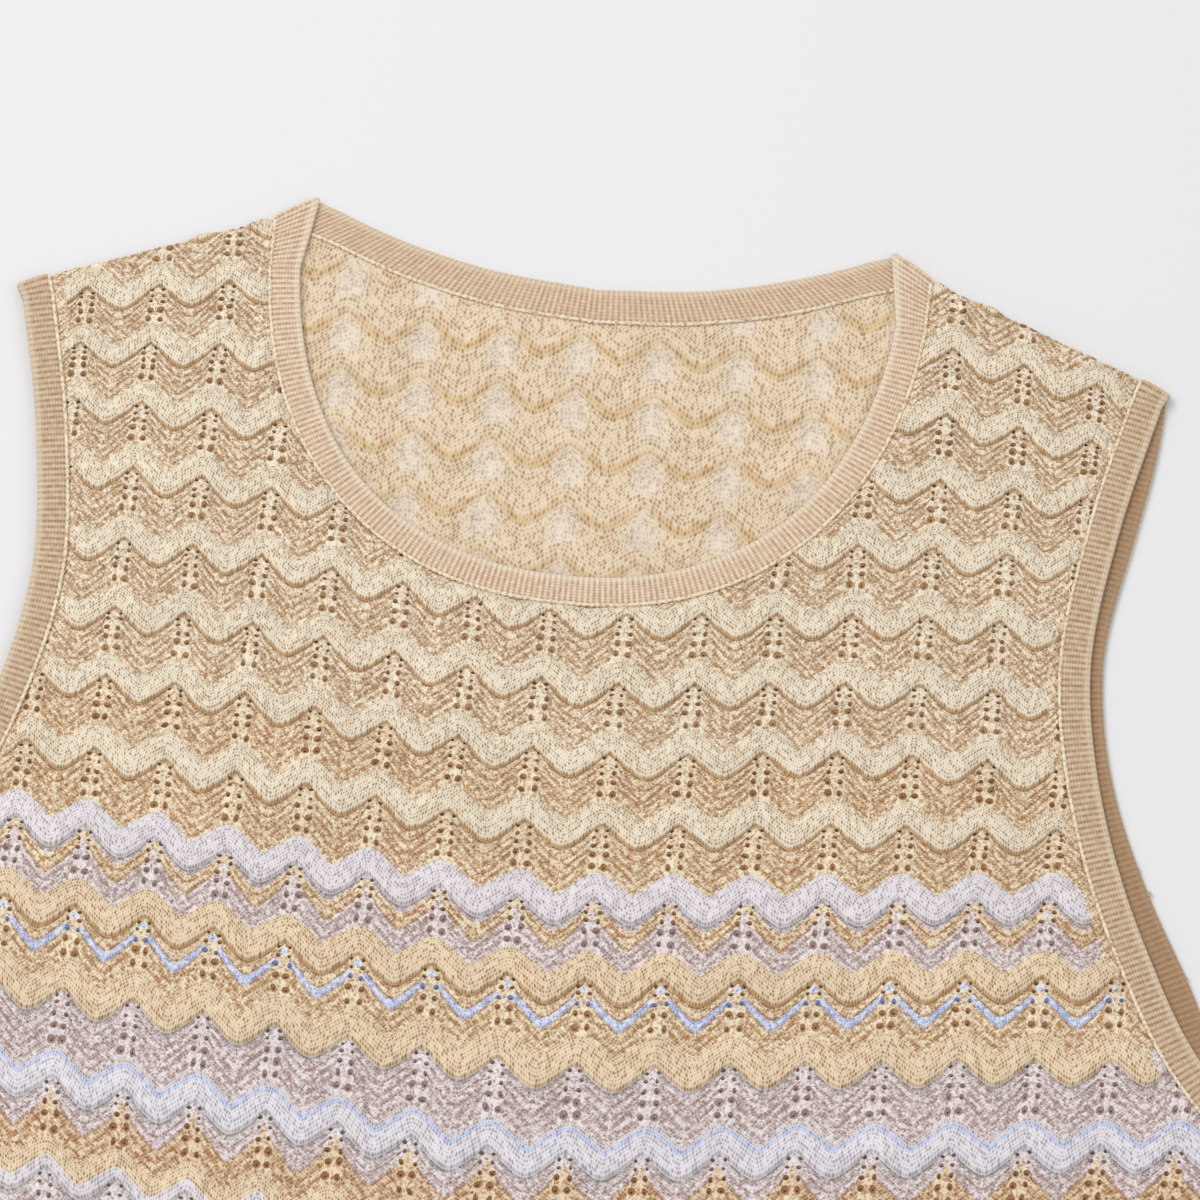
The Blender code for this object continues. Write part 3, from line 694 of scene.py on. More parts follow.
def ripple_material(name, noise_seed):
    """Heather yarn in lace ripple: matt viscose and cotton, whose pale and dark plies show stitch
    by stitch, with a small pit of painted shade beside every stitch of the stripes and bump of the
    welts."""
    material, tree, shader = yarn_material(name, 0.86, 0.25, 0.12)
    shader.inputs["Sheen Roughness"].default_value = 0.5
    uv = add(tree, "UVMap", uv_map="stitch")
    u = add(tree, "SeparateXYZ", uv)
    v = add(tree, "SeparateXYZ", uv, out=1)
    main = add(tree, "Attribute", attribute_name="main_ply")
    in_welt = add(tree, "Attribute", attribute_name="main_ply", out=3)
    dark = add(tree, "Attribute", attribute_name="dark_ply")
    groove_shade = add(tree, "Attribute", attribute_name="dark_ply", out=3)
    pale_frame = add(tree, "Attribute", attribute_name="pale_frame", out=2)

    # Each stitch of the stripe is two legs that meet in a V. How dark a leg is comes mostly from
    # its stitch and partly from itself; painted shade makes it darker in a groove, and a ladder's
    # threads paler
    legs = add(tree, "Math", u, 2.0, operation="MULTIPLY")
    slant = add(tree, "Math", u, 0.5, operation="PINGPONG")
    slanted = add(tree, "Math", slant, 0.7, v, operation="MULTIPLY_ADD")
    course = add(tree, "Math", slanted, operation="FLOOR")
    leg = add(tree, "Math", legs, operation="FLOOR")
    wale = add(tree, "Math", u, operation="FLOOR")
    leg_cell = add(tree, "CombineXYZ", leg, course, noise_seed)
    wale_cell = add(tree, "CombineXYZ", wale, course, noise_seed + 5)
    ply = add(tree, "TexWhiteNoise", leg_cell, noise_dimensions="3D")
    wale_ply = add(tree, "TexWhiteNoise", wale_cell, noise_dimensions="3D")
    shade = add(tree, "Math", wale_ply, 0.70, operation="MULTIPLY")
    shade = add(tree, "Math", ply, 0.30, shade, operation="MULTIPLY_ADD")
    shade = add(tree, "Math", groove_shade, 0.40, shade, operation="MULTIPLY_ADD")
    shade = add(tree, "Math", pale_frame, -0.30, shade, operation="MULTIPLY_ADD")
    dark_share = add(tree, "MapRange", shade, 0.32, 0.98, 0.0, 0.84)
    stripe = add(tree, "Mix", dark_share, put={6: main, 7: dark}, out=2, data_type="RGBA")
    pit_shade_colour = add(tree, "VectorMath", dark, put={"Scale": 0.72}, operation="SCALE")

    # The stitches are laid like loose bricks, with a pit of painted shade between them, larger in
    # the stripe
    line = add(tree, "Math", v, operation="FLOOR")
    shift = add(tree, "TexWhiteNoise", put={"W": line}, noise_dimensions="1D")
    brick = add(tree, "Math", shift, 1.0, u, operation="MULTIPLY_ADD")
    brick_number = add(tree, "Math", brick, operation="FLOOR")
    pit_across = add(tree, "Math", brick, operation="FRACT")
    pit_across = add(tree, "Math", pit_across, 0.5, operation="SUBTRACT")
    pit_down = add(tree, "Math", v, operation="FRACT")
    pit_down = add(tree, "Math", pit_down, 0.5, operation="SUBTRACT")
    pit_down = add(tree, "Math", pit_down, 0.85, operation="MULTIPLY")
    pit_place = add(tree, "CombineXYZ", pit_across, pit_down)
    from_pit = add(tree, "VectorMath", pit_place, out=1, operation="LENGTH")
    pit_scale = add(tree, "MapRange", in_welt, 0.0, 1.0, 0.72, 1.0)
    from_pit = add(tree, "Math", from_pit, pit_scale, operation="MULTIPLY")
    pit_cell = add(tree, "CombineXYZ", brick_number, line, noise_seed + 2)
    pit_size = add(tree, "TexWhiteNoise", pit_cell, noise_dimensions="3D")
    pit_edge = add(tree, "Math", pit_size, 0.28, 0.26, operation="MULTIPLY_ADD")
    pit_depth = add(tree, "Math", pit_size, 0.7, 0.3, operation="MULTIPLY_ADD")
    pit = add(tree, "MapRange", from_pit, 0.08, pit_edge, pit_depth, 0.0,
              interpolation_type="SMOOTHSTEP")
    purl_shade = add(tree, "Math", pit_size, 0.28, operation="MULTIPLY")
    purl = add(tree, "Mix", purl_shade, put={6: main, 7: dark}, out=2, data_type="RGBA")
    # painted shade in the pits: the welt yarn's darker colour, and in the stripe the dark ply
    # dimmed further
    welt = add(tree, "Mix", pit, put={6: purl, 7: dark}, out=2, data_type="RGBA")
    gap = add(tree, "MapRange", shade, 0.05, 0.6, 0.35, 1.0)
    gap = add(tree, "Math", pit, gap, operation="MULTIPLY")
    stripe = add(tree, "Mix", gap, put={6: stripe, 7: pit_shade_colour}, out=2, data_type="RGBA")
    colour = add(tree, "Mix", in_welt, put={6: stripe, 7: welt}, out=2, data_type="RGBA")

    # The dye is a little uneven over some centimetres
    cloud = add(tree, "TexNoise", add(tree, "TexCoord", out=3), put={"Scale": 60.0, "Detail": 3.0})
    tone = add(tree, "MapRange", cloud, 0.3, 0.7, 0.95, 1.04)
    toned = add(tree, "VectorMath", colour, put={"Scale": tone}, operation="SCALE")
    tree.links.new(toned, shader.inputs["Base Color"])
    height = add(tree, "Math", 1.0, pit, operation="SUBTRACT")
    bump = add(tree, "Bump", put={"Strength": 0.6, "Distance": 0.3 * MM, "Height": height})
    tree.links.new(bump, shader.inputs["Normal"])
    return material


RIGHT_SIDE = ripple_material("viscose_ripple_right_side", 1.0)
for piece in (front_yoke, front_chest, front_waist, front_skirt):
    piece.data.materials.append(RIGHT_SIDE)
    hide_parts("front_panel")
    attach(piece, "root")


# ---------------------------------------------------------------------------------------------
# Back panel: the same knit turned over. It lies flat on its right side, and the neck opening
# shows its wrong side: soft purl rows, brown lines where the welts are, and paler lace.
# ---------------------------------------------------------------------------------------------

BACK_NECK_SEAM_OUT = np.array([0, 32, 63, 90, 105]) * MM
BACK_NECK_SEAM_DROP = np.array([33, 30.3, 23, 13, 9]) * MM
INSIDE_WELT_HEIGHT = 0.4 * MM
BACK_LOOSE_EDGE = 0.35 * MM  # its edges are thinner by this at top and bottom, under the bands
BACK_EDGE_ROUND = 0.85 * MM
BACK_COVERED = 1.5 * MM  # it goes on this far past a seam, under its band
SHOULDER_SHORT = 0.35 * MM  # and ends this short of the shoulder seam
BACK_FIRST_ROW = -1.8 * MM
BACK_ROW = 18.95 * MM  # the back's rows lie closer than the front's down to the chest
BACK_ROW_GROWS = 0.619 * MM
BACK_GROWS_AFTER = 6
PLAIN_STRIP = 3.6 * MM  # plain courses next to the neck seam
SAME_ROW = 15  # from here on down both panels have the same rows
BACK_COLUMN_WIDTH = 24.8 * MM
BACK_COLUMN_SHIFT = -2.9 * MM
BACK_BOW = 2.94 / MM * 1e-6
BACK_BOW_FADES = 137 * MM
BACK_BOW_LEVELS = 130 * MM
BACK_BOW_LOWEST = 6 * MM  # out of the middle
SAME_GRID = (150 * MM, 300 * MM)  # drops over which the front's bow and columns take over
NECK_COLUMNS = 5  # to a side
NECK_ROWS = (0, 7)  # these show in the neck opening
NECK_SHOWS_BELOW = 34 * MM
PURLS_ACROSS = 20  # purl bumps across a column of the wrong side
PURLS_DOWN = 13  # and down a row
BACK_COLUMN = (0, 0.25)
BACK_MARKS = tuple((share, 0, 0) for share in (0, 0.165, WELT_END, 0.48, 0.63, 0.81))
BACK_HEM_MARKS = tuple((share, 0, 0) for share in (0, 0.165, 0.323))
INSIDE_EYELETS = np.array([0.4, 0.5, 0.8, 0.95, 1.0])  # of the front's: the lower ones lie open

YARNS["inside_cream"] = ("E7D6BB", "B0865A")
YARNS["inside_line"] = ("DEC49D", "A27A4B")
YARNS["inside_shade"] = ("E6D4B5", "A57C4E")
LACE_TINT = ("EBDDCC", "CDB59B")
LACE_DIP = 0.85 * MM  # the lace is thinner than the knit round it
EYELET_DISH = 0.45 * MM  # threads sag across an eyelet on this side, so it is a shallow dish


def past_back_neck(out, drop):
    """Distance past the back neck seam, up into the opening."""
    seam = along(BACK_NECK_SEAM_OUT, BACK_NECK_SEAM_DROP, np.abs(out))
    return np.where(np.abs(out) < NECK_FOLD_SEAM[0], seam - drop, FAR_INSIDE)


def back_row_starts():
    """Drop of the back's rows: even steps, which grow by a square until they meet the front's."""
    row = np.arange(len(ROW_STARTS))
    grown = BACK_ROW_GROWS * np.maximum(row - BACK_GROWS_AFTER, 0) ** 2
    return np.where(row < SAME_ROW, BACK_FIRST_ROW + BACK_ROW * row + grown, ROW_STARTS)


BACK_STARTS = back_row_starts()


def back_bow(out, drop):
    """The back's bow: a parabola that rises towards the sides and levels off there, weaker by an
    exponential down the panel, until the front's bow takes over. With BACK_BOW as it is, it rises
    less than 0.05 mm, so the back's rows run straight."""
    aside = out - BACK_BOW_LOWEST
    levels = np.sqrt(1 + (aside / BACK_BOW_LEVELS) ** 4)
    rise = BACK_BOW * np.exp(-drop / BACK_BOW_FADES) * aside**2 / levels
    same = smooth(*SAME_GRID, drop)
    return row_bow(out, drop) * same - rise * (1 - same)


def back_column_out(column, reach, drop):
    """Distance out of the back's columns: even and a little wider, until the front's take over."""
    even = (BACK_COLUMN_WIDTH * column + BACK_COLUMN_SHIFT) * reach / UNDERARM_SEAM[0]
    same = smooth(*SAME_GRID, drop)
    return even + (column_out(column, reach, drop) - even) * same


def inside_stripes():
    """The wrong side's rows: cream purl, a brown line under each welt's fold, and fainter ones."""
    in_row = (
        (0, "inside_cream"), (0.25, "inside_line"), (WELT_END, "inside_shade"),
        (0.39, "inside_cream"), (0.58, "inside_shade"), (0.65, "inside_cream"),
    )
    return [(row + share, yarn) for row in range(ROWS + 1) for share, yarn in in_row]


def closed_panel(name, columns, rows, share, out, drop, top, low, keep, pale, groove_shade):
    """A panel with an upper side that shows the wrong side of the knit, an under side with the
    right side over the same cells, and walls round every edge."""
    count = out.size
    faces = quads_of(np.arange(count).reshape(out.shape))[keep]
    edges = np.stack([faces, np.roll(faces, -1, axis=1)], axis=-1).reshape(-1, 2)
    keys = np.sort(edges, axis=1) @ np.array([count, 1])
    _, first, number = np.unique(keys, return_index=True, return_counts=True)
    near, far = edges[first[number == 1]].T  # the two ends of each open edge
    owner = first[number == 1] // 4
    under = faces[:, ::-1] + count
    wall = np.stack([far, near, near + count, far + count], axis=-1)
    upper = np.stack([out, NECK_Y - drop, top], axis=-1).reshape(-1, 3)
    lower = np.stack([out, NECK_Y - drop, low], axis=-1).reshape(-1, 3)
    row, part = by_stripe(faces, len(columns), rows, share)
    middle = (row + part).mean(axis=1)
    in_welt = (middle % 1 < WELT_END).astype(float)
    under_seam = past_back_neck(out, drop).ravel()[faces].mean(axis=1) > -PLAIN_STRIP
    middle = np.where(under_seam, np.floor(middle), middle)
    stripe_uv, welt_uv = stitch_uv(columns, rows, share)
    every = np.concatenate([faces, under, wall])
    in_welt = np.concatenate([np.ones(len(faces)), in_welt, np.zeros(len(owner))])
    uv = np.where(in_welt[:, None, None] > 0, welt_uv[every % count], stripe_uv[every % count])
    from_peak = off_peak(columns)[None, :] + 0 * share[:, None]
    purl_down = PURLS_DOWN * (rows + share)[:, None] + 0 * from_peak
    purl_uv = np.stack([PURLS_ACROSS * from_peak, purl_down], axis=-1).reshape(-1, 2)
    uv[: len(faces)] = purl_uv[faces]  # the wrong side is purl all over
    uv[..., 0] += HALF_COLUMN_STITCHES * half_column_of(every % count, columns)[:, None]
    lace = pale.ravel()[faces].mean(axis=1)[:, None]
    plain, outside = plies(inside_stripes(), middle), plies(STRIPES, middle)
    inside = [ply + (linear(tint) - ply) * lace for ply, tint in zip(plain, LACE_TINT)]
    colours = [np.concatenate([a, b, a[owner]]) for a, b in zip(inside, outside)]
    pale, groove_shade = np.tile(pale.ravel(), 2), np.tile(groove_shade.ravel(), 2)
    points, every, pale, groove_shade = drop_unused(np.concatenate([upper, lower]), every, pale, groove_shade)
    return knit_mesh(name, points, every, uv, colours, in_welt, pale, groove_shade)


def back_edges(out, drop):
    """How far each point is past the nearest seam that a band covers."""
    return np.maximum(past_back_neck(out, drop), past_armhole(out, drop, 1))


def back_heights(out, drop, raised):
    """Heights of the back's upper and under sides: thinner where the bands cover its edges."""
    tucked = smooth(-1.5 * MM, 0.3 * MM, back_edges(out, drop))
    rounded = smooth(-1.6 * MM, 0, np.maximum(past_shoulder(out, drop), past_side(out, drop)))
    top = WALL + raised * INSIDE_WELT_HEIGHT * (1 - tucked) - BACK_LOOSE_EDGE * tucked
    return top, np.maximum(BACK_LOOSE_EDGE * tucked, BACK_EDGE_ROUND * rounded)


def onto_shoulder(out, drop):
    """Points past the shoulder seam brought back just short of it, and how far past they were."""
    past = past_shoulder(out, drop)
    back = np.maximum(past + SHOULDER_SHORT, 0)
    return out - np.sign(out) * SHOULDER_RUN[1] * back, drop + SHOULDER_RUN[0] * back, past


def on_back(out, drop, past):
    """Which cells lie on the panel: not far past a banded seam, and short of the shoulder."""
    return (least_of(back_edges(out, drop)) < BACK_COVERED) & (least_of(past) < -0.4 * MM)


def back_body():
    """The back away from the neck: a plain grid of the same rows, with the neck's part left out."""
    columns, rows, _, table = ripple_grid(
        0, ROWS, BACK_COLUMN, COLUMN_REACH, BACK_MARKS, BACK_HEM_MARKS
    )
    share = table[:, 0]
    out, drop = ripple_plan(columns, rows, share, BACK_STARTS, back_column_out, back_bow)
    out, drop, past = onto_shoulder(out, drop)
    side = past_side(out, drop)
    out = out - np.sign(out) * np.maximum(side, 0)
    keep = on_back(out, drop, past) & (least_of(side) < -0.05 * MM)
    line = (rows + share)[:-1, None]
    in_neck = (line >= NECK_ROWS[0] - 0.01) & (line < NECK_ROWS[1] - 0.01)
    keep &= ~(in_neck & (np.abs(columns[1:] + columns[:-1]) / 2 < NECK_COLUMNS)[None, :])
    plain = 0 * out
    top, low = back_heights(out, drop, plain)
    return closed_panel("back_knit", columns, rows, share, out, drop, top, low, keep, plain, plain)


def back_neck():
    """The back inside the neck, where its lace shows. Its outer lines stay on back_knit's."""
    columns, rows, places, table = ripple_grid(
        *NECK_ROWS, PLAIN_COLUMN, NECK_COLUMNS, SKIRT_MARKS, SKIRT_MARKS[:1]
    )
    share, flute = table[:, 0], table[:, 2][:, None]
    out, drop = ripple_plan(columns, rows, share, BACK_STARTS, back_column_out, back_bow)
    even_out, even_drop = out.copy(), drop.copy()
    centres = np.array(SKIRT_EYELETS)
    gone, rim, _ = eyelets(
        columns, rows, places, out, drop, centres, EYELET_SEED - 1, INSIDE_EYELETS
    )
    edge = (rows + share <= NECK_ROWS[0] + 0.001) | (rows + share >= NECK_ROWS[1] - 0.001)
    out[edge], drop[edge] = even_out[edge], even_drop[edge]
    out, drop, past = onto_shoulder(out, drop)
    keep = on_back(out, drop, past)

    dish = np.zeros(out.shape)
    dish[1:-1, 1:-1] = gone[:-1, :-1] & gone[1:, :-1] & gone[:-1, 1:] & gone[1:, 1:]
    from_peak = off_peak(columns)[None, :]
    patch = np.exp(-((from_peak / 0.13) ** 2)) * smooth(0.5, 0.72, share)[:, None]
    at_peak = np.exp(-((from_peak / 0.16) ** 2))
    line = (np.abs(share - 0.30) < 0.04)[:, None]  # the brown line is broken over each peak
    pale = np.clip(np.maximum(rim, patch) + dish + 0.7 * at_peak * line, 0, 1)
    # painted shade on the wrong side: darker in the grooves, weaker than the front's, none over the
    # peaks
    groove_shade = 0.45 * np.clip(-flute / 0.4, 0, 1) * (1 - at_peak)
    raised = np.sin(np.pi * np.clip(share / WELT_END, 0, 1))[:, None] + 0.3 * flute + 0.15 * rim
    shown = smooth(0, 6 * MM, FRONT_NECK_HALF - np.abs(out))
    shown = shown * smooth(0, 6 * MM, drop - NECK_SHOWS_BELOW)
    top, low = back_heights(out, drop, raised * shown)
    top = top - (LACE_DIP * patch + EYELET_DISH * dish) * shown
    return closed_panel("back_neck", columns, rows, share, out, drop, top, low, keep, pale, groove_shade)


back_panel = back_body()
back_inside = back_neck()
WRONG_SIDE = ripple_material("viscose_ripple_wrong_side", 9.0)
for piece in (back_panel, back_inside):
    piece.data.materials.append(WRONG_SIDE)
    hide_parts("back_panel")
    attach(piece, "root")

# ---------------------------------------------------------------------------------------------
# Rib bands: a 1x1 rib strip linked round the neck and each armhole, and folded at the shoulders
# and under the arms as the dress lies. Its ribs run across it, and its free edge is a pale roll.
# ---------------------------------------------------------------------------------------------

NECK_FOLD_FREE = np.array([91, 0]) * MM
TIP_FOLD_FREE = np.array([182, 40]) * MM
UNDERARM_FREE = np.array([236, 287]) * MM
BACK_NECK_FREE_OUT = np.array([0, 38, 64, 77, 91]) * MM
BACK_NECK_FREE_DROP = np.array([21.5, 17.7, 10.9, 6.1, 0]) * MM

BAND_WIDTH = 9.5 * MM
FOLD_CLEARANCE = 0.7 * MM
NECK_RIB = 1.75 * MM
ARM_RIB = 1.95 * MM
RIB_HEIGHT = 0.17 * MM
INNER_SIDE = 40  # taken off the stitch coordinate on a band's inner side, to tell the two apart
SAMPLES_PER_RIB = 4
FOLD_STEPS = 13  # points round each fold
# A band's section: share of its width, height in half thicknesses, and how strong the ribs are
BAND_FACE = (
    (0.00, 0.15, 0.0), (0.03, 0.62, 0.6), (0.10, 0.90, 1.0), (0.22, 1.00, 1.0), (0.36, 1.03, 1.0),
    (0.50, 1.04, 1.0), (0.62, 1.00, 1.0), (0.72, 0.94, 0.9), (0.77, 0.84, 0.5), (0.82, 0.95, 0.35),
    (0.89, 1.00, 0.3), (0.95, 0.84, 0.3), (0.99, 0.42, 0.15), (1.0, 0.0, 0.0),
)
BAND_UNDER = (
    (0.97, -0.62, 0.0), (0.90, -0.96, 0.0), (0.60, -1.0, 0.5), (0.30, -1.0, 0.5),
    (0.08, -0.94, 0.0), (0.0, -0.5, 0.0),
)


def front_neck_seam(count):
    """Half of the front neck seam, from the shoulder to the centre: a superellipse."""
    turn = np.linspace(0, np.pi / 2, count)
    power = 2 / FRONT_NECK_SQUARENESS
    out = FRONT_NECK_HALF * np.abs(np.cos(turn)) ** power
    out[-1] = 0
    return np.stack([out, FRONT_NECK_TOP + FRONT_NECK_DEPTH * np.sin(turn) ** power], axis=-1)


def armhole_seam(count, shift):
    """The armhole seam from the shoulder tip to the underarm, with the back one shifted out."""
    drop = np.linspace(TIP_FOLD_SEAM[1], UNDERARM_SEAM[1], count)
    out = along(ARMHOLE_DROP, ARMHOLE_OUT, drop)
    return np.stack([out + shift * along(BACK_SHIFT_DROP, BACK_SHIFT_OUT, drop), drop], axis=-1)


def beside(seam, side):
    """A line one band's width from a seam line that runs down, further out (1) or in (-1)."""
    run = np.gradient(seam, axis=0)
    run /= np.linalg.norm(run, axis=1)[:, None]
    return seam + side * BAND_WIDTH * np.stack([run[:, 1], -run[:, 0]], axis=-1)


def mirrored(points):
    """The same curve on the other side, run the other way."""
    return points[::-1] * np.array([-1, 1, 1])[: points.shape[1]]


def folded(seam_corner, free_corner, away):
    """Seam and free points of a band that turns from the front layer to the back: half a circle
    about the fold line, whose far side faces away."""
    line = (free_corner - seam_corner) / np.linalg.norm(free_corner - seam_corner)
    seam_corner = seam_corner + FOLD_CLEARANCE * line
    outward = np.array([line[1], -line[0]])
    outward = outward if outward @ np.array(away) >= 0 else -outward
    radius = (FRONT_LEVEL - BACK_LEVEL) / 2
    turn = np.linspace(0, np.pi, FOLD_STEPS)
    inward = radius * (1 - np.sin(turn))[:, None] * outward
    level = (FRONT_LEVEL + BACK_LEVEL) / 2 + radius * np.cos(turn)
    seam, free = seam_corner - inward, free_corner - inward
    return np.column_stack([seam, level]), np.column_stack([free, level])


def run_along(line):
    """Distance along a closed line at each of its points, and at its first again."""
    step = np.linalg.norm(np.roll(line, -1, axis=0) - line, axis=1)
    return np.concatenate([[0], np.cumsum(step)])


def points_at(places, run, line):
    """Points of a closed line at these distances along it."""
    return np.stack([np.interp(places, run, np.append(axis, axis[0])) for axis in line.T], axis=-1)


def closed_loop(name, points):
    """A closed skin over rings of points that follow each other round a loop."""
    index = np.arange(points.shape[0] * points.shape[1]).reshape(points.shape[:2])
    ahead = np.roll(index, -1, axis=0)
    corners = [index, ahead, np.roll(ahead, -1, axis=1), np.roll(index, -1, axis=1)]
    mesh = bpy.data.meshes.new(name)
    mesh.from_pydata(points.reshape(-1, 3), [], np.stack(corners, axis=-1).reshape(-1, 4))
    mesh.polygons.foreach_set("use_smooth", np.ones(len(mesh.polygons), bool))
    return placed(name, mesh)


def rib_band(name, seam, free, rib):
    """A closed band ruled from its seam line to its free edge, its section carried along both at
    equal steps, with a rib's wave, the cosine of the run, added to its faces."""
    run = run_along((seam + free) / 2)
    ribs = int(round(run[-1] / rib))
    places = np.arange(ribs * SAMPLES_PER_RIB) / (ribs * SAMPLES_PER_RIB) * run[-1]
    seam, free = points_at(places, run, seam), points_at(places, run, free)
    to_free = free - seam
    width = np.linalg.norm(to_free, axis=1)
    to_free /= width[:, None]
    middle = (seam + free) / 2
    ahead = np.roll(middle, -2, axis=0) - np.roll(middle, 2, axis=0)
    face = np.cross(ahead, to_free)
    face /= np.linalg.norm(face, axis=1)[:, None]
    face *= np.sign(face[np.argmax(middle[:, 2]), 2])
    section = np.array(BAND_FACE + BAND_UNDER)
    phase = places / run[-1] * ribs
    wave = np.cos(2 * np.pi * phase)[:, None]
    slack = 0.12 * hand_made(middle[:, 0], middle[:, 1], 5.0)[:, None]
    width = width + 0.3 * MM * hand_made(middle[:, 0], middle[:, 1], 4.0)
    across = section[:, 0] * width[:, None]
    up = BAND_THICKNESS / 2 * section[:, 1] * (1 + slack * (section[:, 1] > 0))
    up = up + RIB_HEIGHT * np.sign(section[:, 1]) * section[:, 2] * wave
    points = seam[:, None] + across[..., None] * to_free[:, None] + up[..., None] * face[:, None]
    points[..., 1] = NECK_Y - points[..., 1]
    points[..., 2] = np.maximum(points[..., 2], 0)  # flat where it rests
    thing = closed_loop(name, points)
    edge = np.append(section[:, 0], section[0, 0]) * BAND_WIDTH / MM
    next_phase = np.append(phase[1:], ribs)
    uv = np.empty((len(places), len(section), 4, 2))
    uv[..., 0] = np.stack([phase, next_phase, next_phase, phase], axis=-1)[:, None]
    uv[..., 1] = np.stack([edge[:-1], edge[:-1], edge[1:], edge[1:]], axis=-1)[None]
    uv[:, len(BAND_FACE) :, :, 1] -= INNER_SIDE
    thing.data.uv_layers.new(name="stitch").data.foreach_set("uv", uv.astype(np.float32).ravel())
    return thing, seam


def neckband_lines():
    """Seam and free lines round the neck: the front U, the fold at each shoulder, and the back."""
    seam = front_neck_seam(90)[6:]
    free = beside(seam, -1)
    front_seam = np.concatenate([seam, mirrored(seam)[1:]])
    front_free = np.concatenate([free, mirrored(free)[1:]])
    front_free[len(seam) - 1, 0] = 0
    rise = NECKBAND_RISE * np.sin(np.pi * np.linspace(0, 1, len(front_seam))) ** 0.7
    share = np.linspace(1, -1, 101)[4:-4]
    seam_out, free_out = share * NECK_FOLD_SEAM[0], share * NECK_FOLD_FREE[0]
    seam_drop = along(BACK_NECK_SEAM_OUT, BACK_NECK_SEAM_DROP, np.abs(seam_out))
    free_drop = along(BACK_NECK_FREE_OUT, BACK_NECK_FREE_DROP, np.abs(free_out))
    back_seam = np.column_stack([seam_out, seam_drop, np.full(len(share), BACK_LEVEL)])
    back_free = np.column_stack([free_out, free_drop, np.full(len(share), BACK_LEVEL)])
    fold_seam, fold_free = folded(NECK_FOLD_SEAM, NECK_FOLD_FREE, (0, -1))
    front_seam = np.column_stack([front_seam, FRONT_LEVEL + rise])
    front_free = np.column_stack([front_free, FRONT_LEVEL + rise])
    seam_line = [front_seam, mirrored(fold_seam)[::-1], back_seam[::-1], fold_seam[::-1]]
    free_line = [front_free, mirrored(fold_free)[::-1], back_free[::-1], fold_free[::-1]]
    return np.concatenate(seam_line), np.concatenate(free_line)


def armhole_lines(side, shift):
    """Seam and free lines round an armhole, on the wearer's left (1) or right (-1)."""
    front_seam = armhole_seam(110, 0)[3:-3]
    back_seam = armhole_seam(110, shift)[3:-3]
    front_free, back_free = beside(front_seam, 1), beside(back_seam, 1)
    tip_seam, tip_free = folded(TIP_FOLD_SEAM, TIP_FOLD_FREE, (0, -1))
    under_seam, under_free = folded(UNDERARM_SEAM, UNDERARM_FREE, (1, 0))
    low = np.full((len(back_seam), 1), BACK_LEVEL)
    high = np.full((len(front_seam), 1), FRONT_LEVEL)
    front_seam, back_seam = np.hstack([front_seam, high]), np.hstack([back_seam, low])
    front_free, back_free = np.hstack([front_free, high]), np.hstack([back_free, low])
    seam_line = [front_seam, under_seam, back_seam[::-1], tip_seam[::-1]]
    free_line = [front_free, under_free, back_free[::-1], tip_free[::-1]]
    flip = np.array([side, 1, 1])
    return np.concatenate(seam_line) * flip, np.concatenate(free_line) * flip


neckband, neck_seam = rib_band("neckband_rib", *neckband_lines(), NECK_RIB)
armband_left, left_seam = rib_band("armhole_rib_left", *armhole_lines(1, 1), ARM_RIB)
armband_right, right_seam = rib_band("armhole_rib_right", *armhole_lines(-1, 0), ARM_RIB)


def outwards(thing):
    """Turns a closed mesh's faces outwards if they point in: its signed volume tells."""
    mesh = thing.data
    mesh.calc_loop_triangles()
    places = np.empty(len(mesh.vertices) * 3)
    mesh.vertices.foreach_get("co", places)
    corners = np.empty(len(mesh.loop_triangles) * 3, np.int32)
    mesh.loop_triangles.foreach_get("vertices", corners)
    triangle = places.reshape(-1, 3)[corners.reshape(-1, 3)]
    if np.linalg.det(triangle).sum() < 0:
        mesh.flip_normals()


